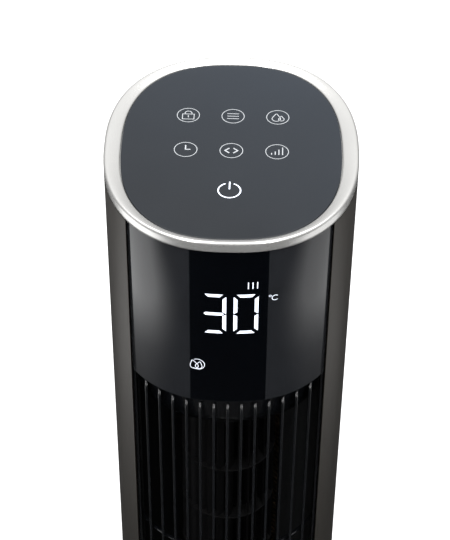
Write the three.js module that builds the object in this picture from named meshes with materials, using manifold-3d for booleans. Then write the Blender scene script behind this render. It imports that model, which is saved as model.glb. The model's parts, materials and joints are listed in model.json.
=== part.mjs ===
// Evaporative tower fan: a round swivel base carries a tall superellipse column that holds a cross-flow
// impeller behind a finned outlet grille, a wetted pad fed by a pump from a pull-out tank, and a touch head.
// Millimetres. +Z up, the outlet faces -Y. The origin is on the floor, at the middle of the base.
import * as THREE from "three";
import { mergeVertices } from "three/addons/utils/BufferGeometryUtils.js";
import Module from "manifold-3d";

const wasm = await Module();
wasm.setup();

// ---------------------------------------------------------------- driving dimensions
const TOTAL_HEIGHT = 1000;
const COLUMN_WIDTH = 250;
const COLUMN_DEPTH = 294;
const SECTION_POWER = 2.36; // superellipse exponent of the column's section
const OUTLINE_POINTS = 44;
const SHELL_WALL = 2.6;
const GAP = 0.3; // between pieces that touch
const SEAM = 0.8; // seam between the shells and what sits between them
const CUT_PAST = 5; // how far a cutting solid runs past the faces that it opens

const BASE_RADIUS = 175;
const BASE_TOP = 28;
const BASE_WALL = 3;
const BASE_SIDES = 40;
const FOOT_RADIUS = 12;
const FOOT_HEIGHT = 3;
const FOOT_EDGE = 33; // foot's middle to the base's rim
const FOOT_SIDES = 20;
const BASE_RIM_HEIGHT = 10; // top of the upright rim, over the floor
const BASE_RIM_CHAMFER = 5;
const BASE_SHOULDER = 36; // from the rim to the bend of the cover's slope
const BASE_SHOULDER_DROP = 4; // the bend lies this far below the collar
const BASE_COLLAR = 22; // flat collar round the turntable
const BASE_PLATE_THICKNESS = 2.5;
const BALLAST_EDGE = 45;
const BALLAST_THICKNESS = 5;
const BALLAST_CLEARANCE = 6; // between the ballast ring and the turntable's rim
const GLAND_WIDTH = 18;
const GLAND_HEIGHT = 10;
const GLAND_DEPTH = 10.5;
const GLAND_SINK = 1.5; // the gland's rear face lies this far inside the rim
const GLAND_NOTCH = 14; // how far the notch for it reaches in from the rim
const CORD_BORE = 7.4;

const GEAR_MODULE = 2;
const GEAR_TEETH = 40;
const PINION_TEETH = 12;
const GEAR_THICKNESS = 7;
const GEAR_BACKLASH = 0.16; // share of a tooth pitch taken off the flanks
const TOOTH_ADDENDUM = 0.9; // in modules, above the pitch circle
const TOOTH_DEDENDUM = 1.2; // in modules, below it
const TOOTH_ROOT_HALF = 0.35; // half widths of a tooth in tooth pitches, before the backlash is taken off
const TOOTH_TIP_HALF = 0.17;
const PINION_SHAFT_RADIUS = 3;
const SHAFT_HOLE_MARGIN = 1; // free round the shaft where it passes the turntable and the floor
const PINION_MARGIN = 1; // kept free round the pinion's tips
const SWING_MOTOR_RADIUS = 17;
const SWING_MOTOR_HEIGHT = 19;

const TURNTABLE_CLEARANCE = 1.2;
const TURNTABLE_RIM = 3;
const TURNTABLE_THICKNESS = 5;
const TURNTABLE_SINK = 2; // its underside lies this far below the base's collar
const POST_RADIUS = 15;
const POST_BORE = 10;
const POST_FLANGE = 15; // how far the post's foot stands out
const POST_FLANGE_THICKNESS = 3;
const POST_SCREWS = 3;
const SCREW_RADIUS = 2.4;
const SCREW_HEAD = 1.6; // height of a screw's head
const SCREW_SIDES = 12;
const SCREW_OUTWARD = 1; // the screws stand this far outside the middle of the post's flange
const SWIVEL_RUNNING = 0.3; // radial clearance of the swivel bush on its post
const BUSH_WALL = 2.5;
const HUB_WALL = 6;
const HUB_HEIGHT = 14;
const NUT_HEIGHT = 5;

const FLOOR_THICKNESS = 3.7;
const DECK_THICKNESS = 4;
const FRONT_PILLAR = 26.5; // from the column's side to its front opening
const REAR_PILLAR = 45;
const RETURN_DEPTH = 16; // the side shells' inward flange beside the outlet
const FRONT_INSET = 2.5; // fascia and lower panel lie this far behind the column's outline
const FRONT_PANEL = 4;
const REAR_PANEL = 3;

const RING_HEIGHT = 11;
const RING_SIDE_WIDTH = 16.5;
const RING_FRONT_WIDTH = 10.25;
const RING_LEDGE = 4; // how far the ring reaches in under the touch panel
const RING_LIP = 2.4; // rounding of the ring's outer edge
const PANEL_POWER = 2.5;
const PANEL_RECESS = 3.6;
const PANEL_THICKNESS = 3.2;
const BOARD_THICKNESS = 1.6;
const TOUCH_BOARD_SIDE = 16; // the touch board is this much narrower than the panel on each side
const TOUCH_BOARD_FRONT = 30;
const TRAY_HEIGHT = 10;
const TRAY_THICKNESS = 3;
const TRAY_SKIRT = 5;
const TABLE_SIDE = 24; // the tray's raised table, narrower than the panel on each side
const TABLE_FRONT = 60;
const WIRE_HOLE_RADIUS = 14;
const WIRE_HOLE_Y = 50;

const FASCIA_HEIGHT = 202;
const FIN_COUNT = 13;
const FIN_THICKNESS = 2.8;
const FIN_DEPTH = 14;
const FIN_INSET = 7;
const SIDE_BAR = 3;
const RAIL_HEIGHT = 7;
const RIB_COUNT = 2;
const RIB_HEIGHT = 3;
const RIB_DEPTH = 5;
const RIB_SINK = 6; // the cross ribs lie this far behind the fins' noses

const IMPELLER_RADIUS = 52;
const IMPELLER_Y = -35;
const BLADE_COUNT = 16;
const BLADE_WIDTH = 12;
const BLADE_THICKNESS = 1.4;
const BLADE_BEND = [0, 0.085, 0.11]; // turn of the blade's rim, middle and root, in radians
const IMPELLER_HUB_WALL = 5;
const LOWER_HUB_HEIGHT = 16;
const UPPER_HUB_HEIGHT = 12;
const DISC_COUNT = 3;
const DISC_THICKNESS = 2;
const SHAFT_RADIUS = 4;
const SHAFT_END = 3; // the shaft starts this far inside the motor and ends this far above its bearing
const BEARING_WALL = 8;
const MOTOR_RADIUS = 43;
const MOTOR_HEIGHT = 46;
const MOTOR_STEP = 5; // the end shields are this much smaller in radius
const MOTOR_SHIELD = 8; // height of an end shield
const MOTOR_LIFT = 6; // between the bay's deck and the motor
const MOTOR_HEADROOM = 13; // between the motor and the duct's floor
const BRACKET_FLANGE = 12;
const BRACKET_WALL = 4;
const BRACKET_FOOT = 3;
const IMPELLER_FLOOR_GAP = 8;
const IMPELLER_CEILING_GAP = 10;
const SCROLL_GAP = 4; // impeller to scroll wall, where the scroll starts
const SCROLL_GROWTH = 24;
const SCROLL_START = 75; // degrees round the impeller
const SCROLL_END = 180;
const TONGUE_LENGTH = 14;
const DUCT_WALL = 2;

const TANK_HEIGHT = 150;
const TANK_WALL = 2.4;
const TANK_SIDE_CLEARANCE = 6;
const TANK_FROM_MOTOR = 13; // between the swing motor and the tank's front wall
const TANK_PAST_DECK = 3; // the tank reaches this far behind the decks
const RIB_FROM_SIDE = 8; // the two ribs that tie the tank to its door
const RIB_THICKNESS = 3;
const RIB_FOOT = 10;
const RIB_HEAD = 40;
const SHELF_THICKNESS = 3;
const SHELF_ABOVE_NUT = 1;
const SHELF_OVERHANG = 8; // the shelf is this much wider than the tank on each side
const SHELF_STOP_HEIGHT = 20; // the tank's front wall meets a stop this high
const TANK_STOP_GAP = 1;
const LID_THICKNESS = 3;
const FILLER_SIDE = 68; // side of the square filling mouth
const FILLER_LEFT = -10;
const FILLER_FRONT = 0;
const DOOR_ABOVE_LID = 10;
const DECK_ABOVE_DOOR = 4;
const SOCKET_REACH = 6; // the dock's socket hangs this far below the deck
const DOOR_GRIP_HALF = 42;
const DOOR_GRIP_HEIGHT = 26;
const GRIP_BELOW_DOOR_TOP = 12;
const GRIP_WALL = 2;
const GRIP_LIP = 3; // the finger pocket's rim behind the door, all round the opening
const WINDOW_X = 58;
const WINDOW_SINK = 0.6; // the pane's face lies this far inside the door's
const WINDOW_HALF = 7;
const WINDOW_HEIGHT = 96;
const PUMP_RADIUS = 19;
const PUMP_HEIGHT = 36;
const PUMP_WALL = 4;
const PUMP_ROOF = 12; // solid part over the rotor's chamber
const STRAINER_THICKNESS = 4;
const STRAINER_SLOTS = 5;
const STRAINER_PITCH = 5;
const STRAINER_SLOT = 2;
const STRAINER_SLOT_LENGTH = 20;
const ROTOR_HUB_RADIUS = 6;
const ROTOR_HUB_HEIGHT = 14;
const ROTOR_CLEARANCE = 3;
const ROTOR_VANES = 3; // each runs right across the hub
const VANE_THICKNESS = 1.6;
const VANE_HEIGHT = 8;
const PUMP_X = -50;
const PUMP_Y = 20;
const PIPE_RADIUS = 4.5;
const PIPE_BORE = 3;
const SOCKET_WALL = 2.5;
const SOCKET_CLEARANCE = 1.5; // the pump's pipe is this loose in the dock's socket
const SOCKET_FLANGE = 5;
const SOCKET_SIDES = 16;
const SPIGOT_HEIGHT = 8.5; // the hose pushes onto the dock's spigot, above the deck

const PAD_THICKNESS = 26;
const FILTER_THICKNESS = 4;
const FILTER_BORDER = 8;
const FILTER_GAP = 6; // between the filter and the intake cover, at its sides
const FILTER_WEB = 1; // the filter's mesh
const FILTER_INSET = 5; // the filter is this much narrower than its cover on each side
const DECK_FRONT_GAP = 3; // between the shells' inward flanges and the decks
const DECK_REAR_GAP = 8; // between the decks and the filter
const HOSE_RADIUS = 4;
const TROUGH_HEIGHT = 12;
const TROUGH_WALL = 2;
const TROUGH_HEADROOM = 10;
const PAD_FROM_DECK_EDGE = 10;

const REAR_CAP_HEIGHT = 108;
const SLOT_COLUMNS = 11;
const SLOT_WIDTH = 6.4;
const SLOT_ROWS = 3;
const SLOT_BRIDGE = 14;
const SLOT_MARGINS = 1.6; // both side margins together, in slot pitches
const HANDLE_HALF_WIDTH = 46;
const HANDLE_HEIGHT = 34;
const HANDLE_DEPTH = 36;
const HANDLE_WALL = 2;
const HANDLE_SINK = 1; // the cup's rim lies this far inside the rear cap's face

const DISPLAY_HALF_WIDTH = 34;
const DISPLAY_HEIGHT = 96;
const DISPLAY_BELOW_RING = 36;
const LIGHT_BOX_DEPTH = 9;
const LIGHT_BOX_BACK = 3;
const LIGHT_BOX_FOOT = 8; // the board reaches this far below the light box
const DISPLAY_GAP = 1; // between the fascia and the light box
const DISPLAY_BOARD_SIDE = 6;
const DISPLAY_BOARD_HEAD = 4;
const CELL_TOP = 18; // below the top of the light box
const CELL_HEIGHT = 56;
const CELLS = [
  [-24, -0.5],
  [3, 30],
]; // left and right walls of the two digits' cells
const CONTROL_BOARD_HALF_WIDTH = 62;
const CONTROL_BOARD_HEIGHT = 100;
const CONTROL_BOARD_Y = 30;

// ---------------------------------------------------------------- levels and places worked out from them
const HALF_W = COLUMN_WIDTH / 2;
const HALF_D = COLUMN_DEPTH / 2;
const FRONT_OPENING_HALF = HALF_W - FRONT_PILLAR;
const REAR_OPENING_HALF = HALF_W - REAR_PILLAR;
const FRONT_HALF = FRONT_OPENING_HALF - SEAM; // half width of the fascia, grille and lower panel
const REAR_HALF = REAR_OPENING_HALF - SEAM;
const INNER_INSET = SHELL_WALL + GAP;

const FOOT_CIRCLE = BASE_RADIUS - FOOT_EDGE;
const PLATE_TOP = FOOT_HEIGHT + BASE_PLATE_THICKNESS;
const POST_FOOT_TOP = PLATE_TOP + GAP + POST_FLANGE_THICKNESS;
const GEAR_BOTTOM = POST_FOOT_TOP + GAP;
const GEAR_TOP = GEAR_BOTTOM + GEAR_THICKNESS;
const SWING_CENTRES = (GEAR_MODULE * (GEAR_TEETH + PINION_TEETH)) / 2;
const PINION_CLEAR = (GEAR_MODULE * PINION_TEETH) / 2 + GEAR_MODULE + PINION_MARGIN;
const THRUST_RADIUS = SWING_CENTRES - PINION_CLEAR - PINION_MARGIN;
const TURNTABLE_RADIUS = SWING_CENTRES + PINION_CLEAR + TURNTABLE_RIM;
const TURNTABLE_BOTTOM = BASE_TOP - TURNTABLE_SINK;
const TURNTABLE_TOP = TURNTABLE_BOTTOM + TURNTABLE_THICKNESS;
const HUB_TOP = TURNTABLE_BOTTOM + HUB_HEIGHT;
const BUSH_RADIUS = POST_RADIUS + SWIVEL_RUNNING + BUSH_WALL;
const HUB_RADIUS = BUSH_RADIUS + GAP + HUB_WALL;
const NUT_TOP = HUB_TOP + GAP + NUT_HEIGHT;

const COLUMN_BOTTOM = TURNTABLE_TOP + GAP;
const FLOOR_TOP = COLUMN_BOTTOM + FLOOR_THICKNESS;
const SHELF_BOTTOM = NUT_TOP + SHELF_ABOVE_NUT;
const SHELF_TOP = SHELF_BOTTOM + SHELF_THICKNESS;
const TANK_BOTTOM = SHELF_TOP + GAP;
const TANK_TOP = TANK_BOTTOM + TANK_HEIGHT;
const LID_TOP = TANK_TOP + GAP + LID_THICKNESS;
const PUMP_BOTTOM = TANK_BOTTOM + TANK_WALL + GAP;
const STRAINER_TOP = PUMP_BOTTOM + STRAINER_THICKNESS;
const PUMP_TOP = STRAINER_TOP + GAP + PUMP_HEIGHT;
const DOOR_TOP = LID_TOP + DOOR_ABOVE_LID;
const GRIP_BOTTOM = DOOR_TOP - GRIP_BELOW_DOOR_TOP - DOOR_GRIP_HEIGHT;
const WINDOW_TOP = GRIP_BOTTOM;
const BAY_DECK_BOTTOM = DOOR_TOP + DECK_ABOVE_DOOR;
const BAY_DECK_TOP = BAY_DECK_BOTTOM + DECK_THICKNESS;
const SOCKET_BOTTOM = BAY_DECK_BOTTOM - SOCKET_REACH;
const MOTOR_BOTTOM = BAY_DECK_TOP + MOTOR_LIFT;
const MOTOR_TOP = MOTOR_BOTTOM + MOTOR_HEIGHT;
const DUCT_FLOOR_BOTTOM = MOTOR_TOP + MOTOR_HEADROOM;
const DUCT_FLOOR_TOP = DUCT_FLOOR_BOTTOM + DECK_THICKNESS;
const RING_BOTTOM = TOTAL_HEIGHT - RING_HEIGHT;
const SHELL_TOP = RING_BOTTOM - GAP;
const FASCIA_BOTTOM = SHELL_TOP - FASCIA_HEIGHT;
const GRILLE_TOP = FASCIA_BOTTOM - SEAM;
const GRILLE_BOTTOM = DUCT_FLOOR_TOP;
const LOWER_PANEL_TOP = GRILLE_BOTTOM - SEAM;
const DUCT_CEILING_BOTTOM = GRILLE_TOP;
const DUCT_CEILING_TOP = DUCT_CEILING_BOTTOM + DECK_THICKNESS;
const IMPELLER_BOTTOM = DUCT_FLOOR_TOP + IMPELLER_FLOOR_GAP;
const IMPELLER_TOP = DUCT_CEILING_BOTTOM - IMPELLER_CEILING_GAP;
const PAD_TOP = DUCT_CEILING_BOTTOM - TROUGH_HEIGHT - TROUGH_HEADROOM;
const REAR_GRILLE_BOTTOM = DOOR_TOP + SEAM;
const REAR_GRILLE_TOP = SHELL_TOP - REAR_CAP_HEIGHT - SEAM;
const CAP_BOTTOM = REAR_GRILLE_TOP + SEAM;
const HANDLE_BOTTOM = CAP_BOTTOM + (REAR_CAP_HEIGHT - HANDLE_HEIGHT) / 2;
const FIN_PITCH = (2 * FRONT_HALF) / (FIN_COUNT + 1);
const SLOT_PITCH = (2 * REAR_HALF) / (SLOT_COLUMNS + SLOT_MARGINS);

// From front to rear: the shells' return flanges, the decks, the pad, the filter.
const FLANGE_END_Y = -depthAt(FRONT_OPENING_HALF, 0) + RETURN_DEPTH;
const FILTER_Y = depthAt(REAR_HALF, 0) - REAR_PANEL - FILTER_THICKNESS - FILTER_GAP;
const DECK_FRONT = FLANGE_END_Y + DECK_FRONT_GAP;
const DECK_REAR = FILTER_Y - DECK_REAR_GAP;
const PAD_REAR_Y = DECK_REAR - PAD_FROM_DECK_EDGE;
const PAD_FRONT_Y = PAD_REAR_Y - PAD_THICKNESS;
const PAD_HALF_WIDTH = widthAt(PAD_REAR_Y, INNER_INSET) - 3 * HOSE_RADIUS;
const HOSE_X = -PAD_HALF_WIDTH - 2 * HOSE_RADIUS;
const HOSE_Y = (PAD_FRONT_Y + PAD_REAR_Y) / 2;
const TANK_HALF_WIDTH = REAR_OPENING_HALF - TANK_SIDE_CLEARANCE;
const TANK_FRONT_Y = -SWING_CENTRES + SWING_MOTOR_RADIUS + TANK_FROM_MOTOR;
const TANK_REAR_Y = DECK_REAR + TANK_PAST_DECK;
const DUCT_MOUTH_X = FRONT_HALF - SIDE_BAR;
const DUCT_MOUTH_Y = -depthAt(FRONT_HALF, FIN_INSET) + FIN_DEPTH + GAP;
const SOCKET_RADIUS = PIPE_RADIUS + SOCKET_CLEARANCE + SOCKET_WALL;
const DISPLAY_FACE_Y = -depthAt(DISPLAY_HALF_WIDTH, FRONT_INSET) + FRONT_PANEL + DISPLAY_GAP;
const LIGHT_BOX_REAR = DISPLAY_FACE_Y + LIGHT_BOX_DEPTH;
const DISPLAY_TOP = SHELL_TOP - DISPLAY_BELOW_RING;
const DISPLAY_BOTTOM = DISPLAY_TOP - DISPLAY_HEIGHT;
const PANEL_A = HALF_W - RING_SIDE_WIDTH;
const PANEL_B = HALF_D - RING_FRONT_WIDTH;
const PANEL_TOP = TOTAL_HEIGHT - PANEL_RECESS;
const PANEL_BOTTOM = PANEL_TOP - PANEL_THICKNESS;
const BOARD_BOTTOM = PANEL_BOTTOM - GAP - BOARD_THICKNESS;

// ---------------------------------------------------------------- shape helpers
const v2 = (x, y) => new THREE.Vector2(x, y);

// A point of the superellipse |x/a|^n + |y/b|^n = 1 at parameter t.
function onSection(a, b, n, t) {
  const c = Math.cos(t);
  const s = Math.sin(t);
  return v2(a * Math.sign(c) * Math.abs(c) ** (2 / n), b * Math.sign(s) * Math.abs(s) ** (2 / n));
}

function sectionOutline(a, b, n = SECTION_POWER, count = OUTLINE_POINTS) {
  return Array.from({ length: count }, (_, i) => onSection(a, b, n, (2 * Math.PI * i) / count));
}

// Distance of the column's outline, moved in by inset, from the X axis at a given x.
function depthAt(x, inset) {
  const n = SECTION_POWER;
  return (HALF_D - inset) * (1 - Math.abs(x / (HALF_W - inset)) ** n) ** (1 / n);
}

// The same from the Y axis at a given y.
function widthAt(y, inset) {
  const n = SECTION_POWER;
  return (HALF_W - inset) * (1 - Math.abs(y / (HALF_D - inset)) ** n) ** (1 / n);
}

function extrude(points, bottom, top, holes = []) {
  const shape = new THREE.Shape(points);
  shape.holes = holes.map((hole) => new THREE.Path(hole));
  const geometry = new THREE.ExtrudeGeometry(shape, { depth: top - bottom, bevelEnabled: false });
  return geometry.translate(0, 0, bottom);
}

function circle(radius, x = 0, y = 0, count = 32) {
  return Array.from({ length: count }, (_, i) => {
    const t = (2 * Math.PI * i) / count;
    return v2(x + radius * Math.cos(t), y + radius * Math.sin(t));
  });
}

function box(x0, x1, y0, y1, z0, z1) {
  const geometry = new THREE.BoxGeometry(x1 - x0, y1 - y0, z1 - z0);
  return geometry.translate((x0 + x1) / 2, (y0 + y1) / 2, (z0 + z1) / 2);
}

// A solid of revolution about Z: profile is a closed list of [radius, height], anticlockwise.
function turned(profile, x = 0, y = 0, count = 36) {
  const points = [...profile, profile[0]].map(([r, z]) => v2(r, z));
  return new THREE.LatheGeometry(points, count).rotateX(Math.PI / 2).translate(x, y, 0);
}

function disc(radius, bottom, top, x = 0, y = 0, count = 32) {
  return extrude(circle(radius, x, y, count), bottom, top);
}

function tube(outer, inner, bottom, top, x = 0, y = 0, count = 28) {
  return extrude(circle(outer, x, y, count), bottom, top, [circle(inner, x, y, count)]);
}

// A panel that follows the column's outline, in front (side -1) or behind (side 1).
function curvedPanel(halfWidth, side, inset, thickness, bottom, top, count = 14) {
  const outer = Array.from({ length: count + 1 }, (_, i) => {
    const x = halfWidth * ((2 * i) / count - 1);
    return v2(x, side * depthAt(x, inset));
  });
  const inner = outer.map((p) => v2(p.x, p.y - side * thickness)).reverse();
  return extrude([...outer, ...inner], bottom, top);
}

// Outline of a plate inside the shells, cut off flat in front and behind.
function deckOutline(inset = INNER_INSET) {
  return sectionOutline(HALF_W - inset, HALF_D - inset).map((p) =>
    v2(p.x, Math.min(DECK_REAR, Math.max(DECK_FRONT, p.y))),
  );
}

function deck(bottom, top, holes = []) {
  return extrude(deckOutline(), bottom, top, holes);
}

// ---------------------------------------------------------------- solids: join and cut
function solid(geometry) {
  const bare = new THREE.BufferGeometry();
  const loose = geometry.index ? geometry.toNonIndexed() : geometry;
  bare.setAttribute("position", loose.getAttribute("position"));
  const merged = mergeVertices(bare, 1e-3);
  const mesh = new wasm.Mesh({
    numProp: 3,
    vertProperties: merged.attributes.position.array,
    triVerts: new Uint32Array(merged.index.array),
  });
  return new wasm.Manifold(mesh);
}

function geometryOf(manifold) {
  const mesh = manifold.getMesh();
  const geometry = new THREE.BufferGeometry();
  geometry.setAttribute("position", new THREE.BufferAttribute(new Float32Array(mesh.vertProperties), 3));
  geometry.setIndex(new THREE.BufferAttribute(new Uint32Array(mesh.triVerts), 1));
  return geometry.toNonIndexed();
}

function joined(...geometries) {
  return geometryOf(geometries.map(solid).reduce((sum, next) => sum.add(next)));
}

function cut(geometry, ...tools) {
  return geometryOf(tools.map(solid).reduce((left, tool) => left.subtract(tool), solid(geometry)));
}

// ---------------------------------------------------------------- materials and nodes
const finish = (color, roughness, metalness = 0) =>
  new THREE.MeshStandardMaterial({ color, roughness, metalness });
const FINISHES = {
  shell: finish(0x4b4844, 0.35, 0.4),
  gloss: finish(0x0b0d10, 0.12),
  grille: finish(0x111214, 0.3),
  trim: finish(0xc9c9c7, 0.28, 1),
  touch: finish(0x43474c, 0.3),
  base: finish(0x1b1c1e, 0.35),
  inner: finish(0x2b2d30, 0.55),
  white: finish(0xe8e8e4, 0.5),
  nylon: finish(0xd9d6cc, 0.5),
  rubber: finish(0x151515, 0.85),
  steel: finish(0x9a9da0, 0.35, 1),
  zinc: finish(0xb9bcbf, 0.4, 1),
  board: finish(0x1f5a36, 0.5),
  pad: finish(0x6f5a3c, 0.9),
  tank: finish(0xa9b7bf, 0.2),
  hose: finish(0xd5dcdc, 0.4),
};

const fan = new THREE.Group();

function node(name, geometry, finishName) {
  const mesh = new THREE.Mesh(geometry, FINISHES[finishName]);
  mesh.name = name;
  fan.add(mesh);
}

// ---------------------------------------------------------------- base
function baseCover() {
  const mouth = TURNTABLE_RADIUS + TURNTABLE_CLEARANCE;
  const crown = mouth + BASE_COLLAR;
  const shoulder = BASE_RADIUS - BASE_SHOULDER;
  const bend = BASE_TOP - BASE_SHOULDER_DROP;
  const rimTop = BASE_RIM_HEIGHT;
  const chamfer = BASE_RIM_CHAMFER;
  const shell = turned(
    [
      [BASE_RADIUS - BASE_WALL, FOOT_HEIGHT],
      [BASE_RADIUS, FOOT_HEIGHT],
      [BASE_RADIUS, rimTop],
      [BASE_RADIUS - chamfer, rimTop + chamfer],
      [shoulder, bend],
      [crown, BASE_TOP],
      [mouth, BASE_TOP],
      [mouth, BASE_TOP - BASE_WALL],
      [crown, BASE_TOP - BASE_WALL],
      [shoulder, bend - BASE_WALL],
      [BASE_RADIUS - chamfer - BASE_WALL, rimTop + chamfer - BASE_WALL],
      [BASE_RADIUS - BASE_WALL, rimTop],
    ],
    0,
    0,
    BASE_SIDES,
  );
  // Half a step round, so that the notch cuts a flat and the rim reaches as far behind as in front.
  shell.rotateZ(Math.PI / BASE_SIDES);
  return cut(shell, glandNotch(FOOT_HEIGHT + GLAND_HEIGHT + GAP));
}

// The opening that the cord gland sits in, at the rear of the base.
function glandNotch(top) {
  const half = GLAND_WIDTH / 2 + GAP;
  return box(-half, half, BASE_RADIUS - GLAND_NOTCH, BASE_RADIUS + CUT_PAST, 0, top);
}

function screwPlaces() {
  const radius = POST_RADIUS + POST_FLANGE / 2 + SCREW_OUTWARD;
  return Array.from({ length: POST_SCREWS }, (_, i) => {
    const t = (2 * Math.PI * i) / POST_SCREWS + Math.PI / 2;
    return v2(radius * Math.cos(t), radius * Math.sin(t));
  });
}

function screwHoles(top) {
  return screwPlaces().map((p) => disc(SCREW_RADIUS + GAP, 0, top, p.x, p.y, SCREW_SIDES));
}

function footPlaces() {
  return [45, 135, 225, 315].map((degrees) => {
    const t = (degrees * Math.PI) / 180;
    return v2(FOOT_CIRCLE * Math.cos(t), FOOT_CIRCLE * Math.sin(t));
  });
}

function basePlate() {
  const rim = (BASE_RADIUS - BASE_WALL - GAP) * Math.cos(Math.PI / BASE_SIDES);
  const plate = tube(rim, POST_BORE, FOOT_HEIGHT, PLATE_TOP, 0, 0, BASE_SIDES);
  return cut(plate, glandNotch(PLATE_TOP + CUT_PAST), ...screwHoles(PLATE_TOP + CUT_PAST));
}

function cordGland() {
  const rear = BASE_RADIUS - GLAND_SINK;
  const front = rear - GLAND_DEPTH;
  const block = box(-GLAND_WIDTH / 2, GLAND_WIDTH / 2, front, rear, FOOT_HEIGHT, FOOT_HEIGHT + GLAND_HEIGHT);
  const bore = new THREE.CylinderGeometry(CORD_BORE / 2, CORD_BORE / 2, 4 * GLAND_DEPTH, 20);
  return cut(block, bore.translate(0, front, FOOT_HEIGHT + GLAND_HEIGHT / 2));
}

node("base_cover", baseCover(), "base");
node("base_plate", basePlate(), "base");
footPlaces().forEach((place, i) => {
  node(`foot_${i + 1}`, disc(FOOT_RADIUS, 0, FOOT_HEIGHT - GAP, place.x, place.y, FOOT_SIDES), "rubber");
});
function ballastPlate() {
  const outer = BASE_RADIUS - BALLAST_EDGE;
  const inner = TURNTABLE_RADIUS + BALLAST_CLEARANCE;
  return tube(outer, inner, PLATE_TOP + GAP, PLATE_TOP + GAP + BALLAST_THICKNESS);
}

node("ballast_plate", ballastPlate(), "steel");
node("cord_gland", cordGland(), "rubber");

// ---------------------------------------------------------------- swivel and its drive
// Outline of a spur gear with straight-flanked teeth; phase turns it in tooth pitches.
function gearOutline(teeth, phase) {
  const pitchRadius = (GEAR_MODULE * teeth) / 2;
  const tip = pitchRadius + TOOTH_ADDENDUM * GEAR_MODULE;
  const root = pitchRadius - TOOTH_DEDENDUM * GEAR_MODULE;
  const tipHalf = TOOTH_TIP_HALF - GEAR_BACKLASH / 2;
  const rootHalf = TOOTH_ROOT_HALF - GEAR_BACKLASH / 2;
  const corners = [
    [root, -rootHalf],
    [tip, -tipHalf],
    [tip, tipHalf],
    [root, rootHalf],
  ];
  return Array.from({ length: teeth }, (_, i) =>
    corners.map(([radius, share]) => {
      const t = (2 * Math.PI * (i + share + phase)) / teeth;
      return v2(radius * Math.cos(t), radius * Math.sin(t));
    }),
  ).flat();
}

function swivelPost() {
  const bottom = PLATE_TOP + GAP;
  const flange = POST_RADIUS + POST_FLANGE;
  const post = turned(
    [
      [POST_BORE, bottom],
      [flange, bottom],
      [flange, POST_FOOT_TOP],
      [POST_RADIUS, POST_FOOT_TOP],
      [POST_RADIUS, NUT_TOP],
      [POST_BORE, NUT_TOP],
    ],
    0,
    0,
    28,
  );
  return cut(post, ...screwHoles(POST_FOOT_TOP + CUT_PAST));
}

// Screw from under the base into the post's foot.
function postScrew(place) {
  const seat = FOOT_HEIGHT - GAP;
  const head = disc(2 * SCREW_RADIUS, seat - SCREW_HEAD, seat, place.x, place.y, SCREW_SIDES);
  const shank = disc(SCREW_RADIUS, seat - SCREW_HEAD / 2, POST_FOOT_TOP, place.x, place.y, SCREW_SIDES);
  return joined(head, shank);
}

function turntable() {
  const bore = BUSH_RADIUS + GAP;
  const plate = turned([
    [bore, TURNTABLE_BOTTOM],
    [TURNTABLE_RADIUS, TURNTABLE_BOTTOM],
    [TURNTABLE_RADIUS, TURNTABLE_TOP],
    [HUB_RADIUS, TURNTABLE_TOP],
    [HUB_RADIUS, HUB_TOP],
    [bore, HUB_TOP],
  ]);
  return cut(plate, disc(PINION_SHAFT_RADIUS + SHAFT_HOLE_MARGIN, 0, HUB_TOP, 0, -SWING_CENTRES, 16));
}

function swingPinion() {
  const phase = 0.25 * PINION_TEETH + 0.5; // a gap of the pinion faces a tooth of the gear
  const outline = gearOutline(PINION_TEETH, phase).map((p) => v2(p.x, p.y - SWING_CENTRES));
  const wheel = extrude(outline, GEAR_BOTTOM + GAP, GEAR_TOP - GAP);
  const shaft = disc(PINION_SHAFT_RADIUS, GEAR_BOTTOM + 1, FLOOR_TOP - GAP, 0, -SWING_CENTRES, 16);
  return joined(wheel, shaft);
}

const postHole = circle(POST_RADIUS + GAP);
// A tooth of the gear points along -Y, where the pinion stands.
const swingGear = extrude(gearOutline(GEAR_TEETH, -0.25 * GEAR_TEETH), GEAR_BOTTOM, GEAR_TOP, [postHole]);
node("swivel_post", swivelPost(), "steel");
node("swing_gear", swingGear, "nylon");
node(
  "thrust_ring",
  tube(THRUST_RADIUS, POST_RADIUS + GAP, GEAR_TOP + GAP, TURNTABLE_BOTTOM - GAP),
  "nylon",
);
node("turntable", turntable(), "inner");
node(
  "swivel_bush",
  tube(BUSH_RADIUS, POST_RADIUS + SWIVEL_RUNNING, TURNTABLE_BOTTOM, HUB_TOP),
  "nylon",
);
screwPlaces().forEach((place, i) => node(`post_screw_${i + 1}`, postScrew(place), "zinc"));
node("swivel_nut", extrude(circle(HUB_RADIUS, 0, 0, 6), HUB_TOP + GAP, NUT_TOP, [postHole]), "zinc");
node("swing_pinion", swingPinion(), "nylon");
node(
  "swing_motor",
  disc(SWING_MOTOR_RADIUS, FLOOR_TOP + GAP, FLOOR_TOP + SWING_MOTOR_HEIGHT, 0, -SWING_CENTRES),
  "zinc",
);

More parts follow.
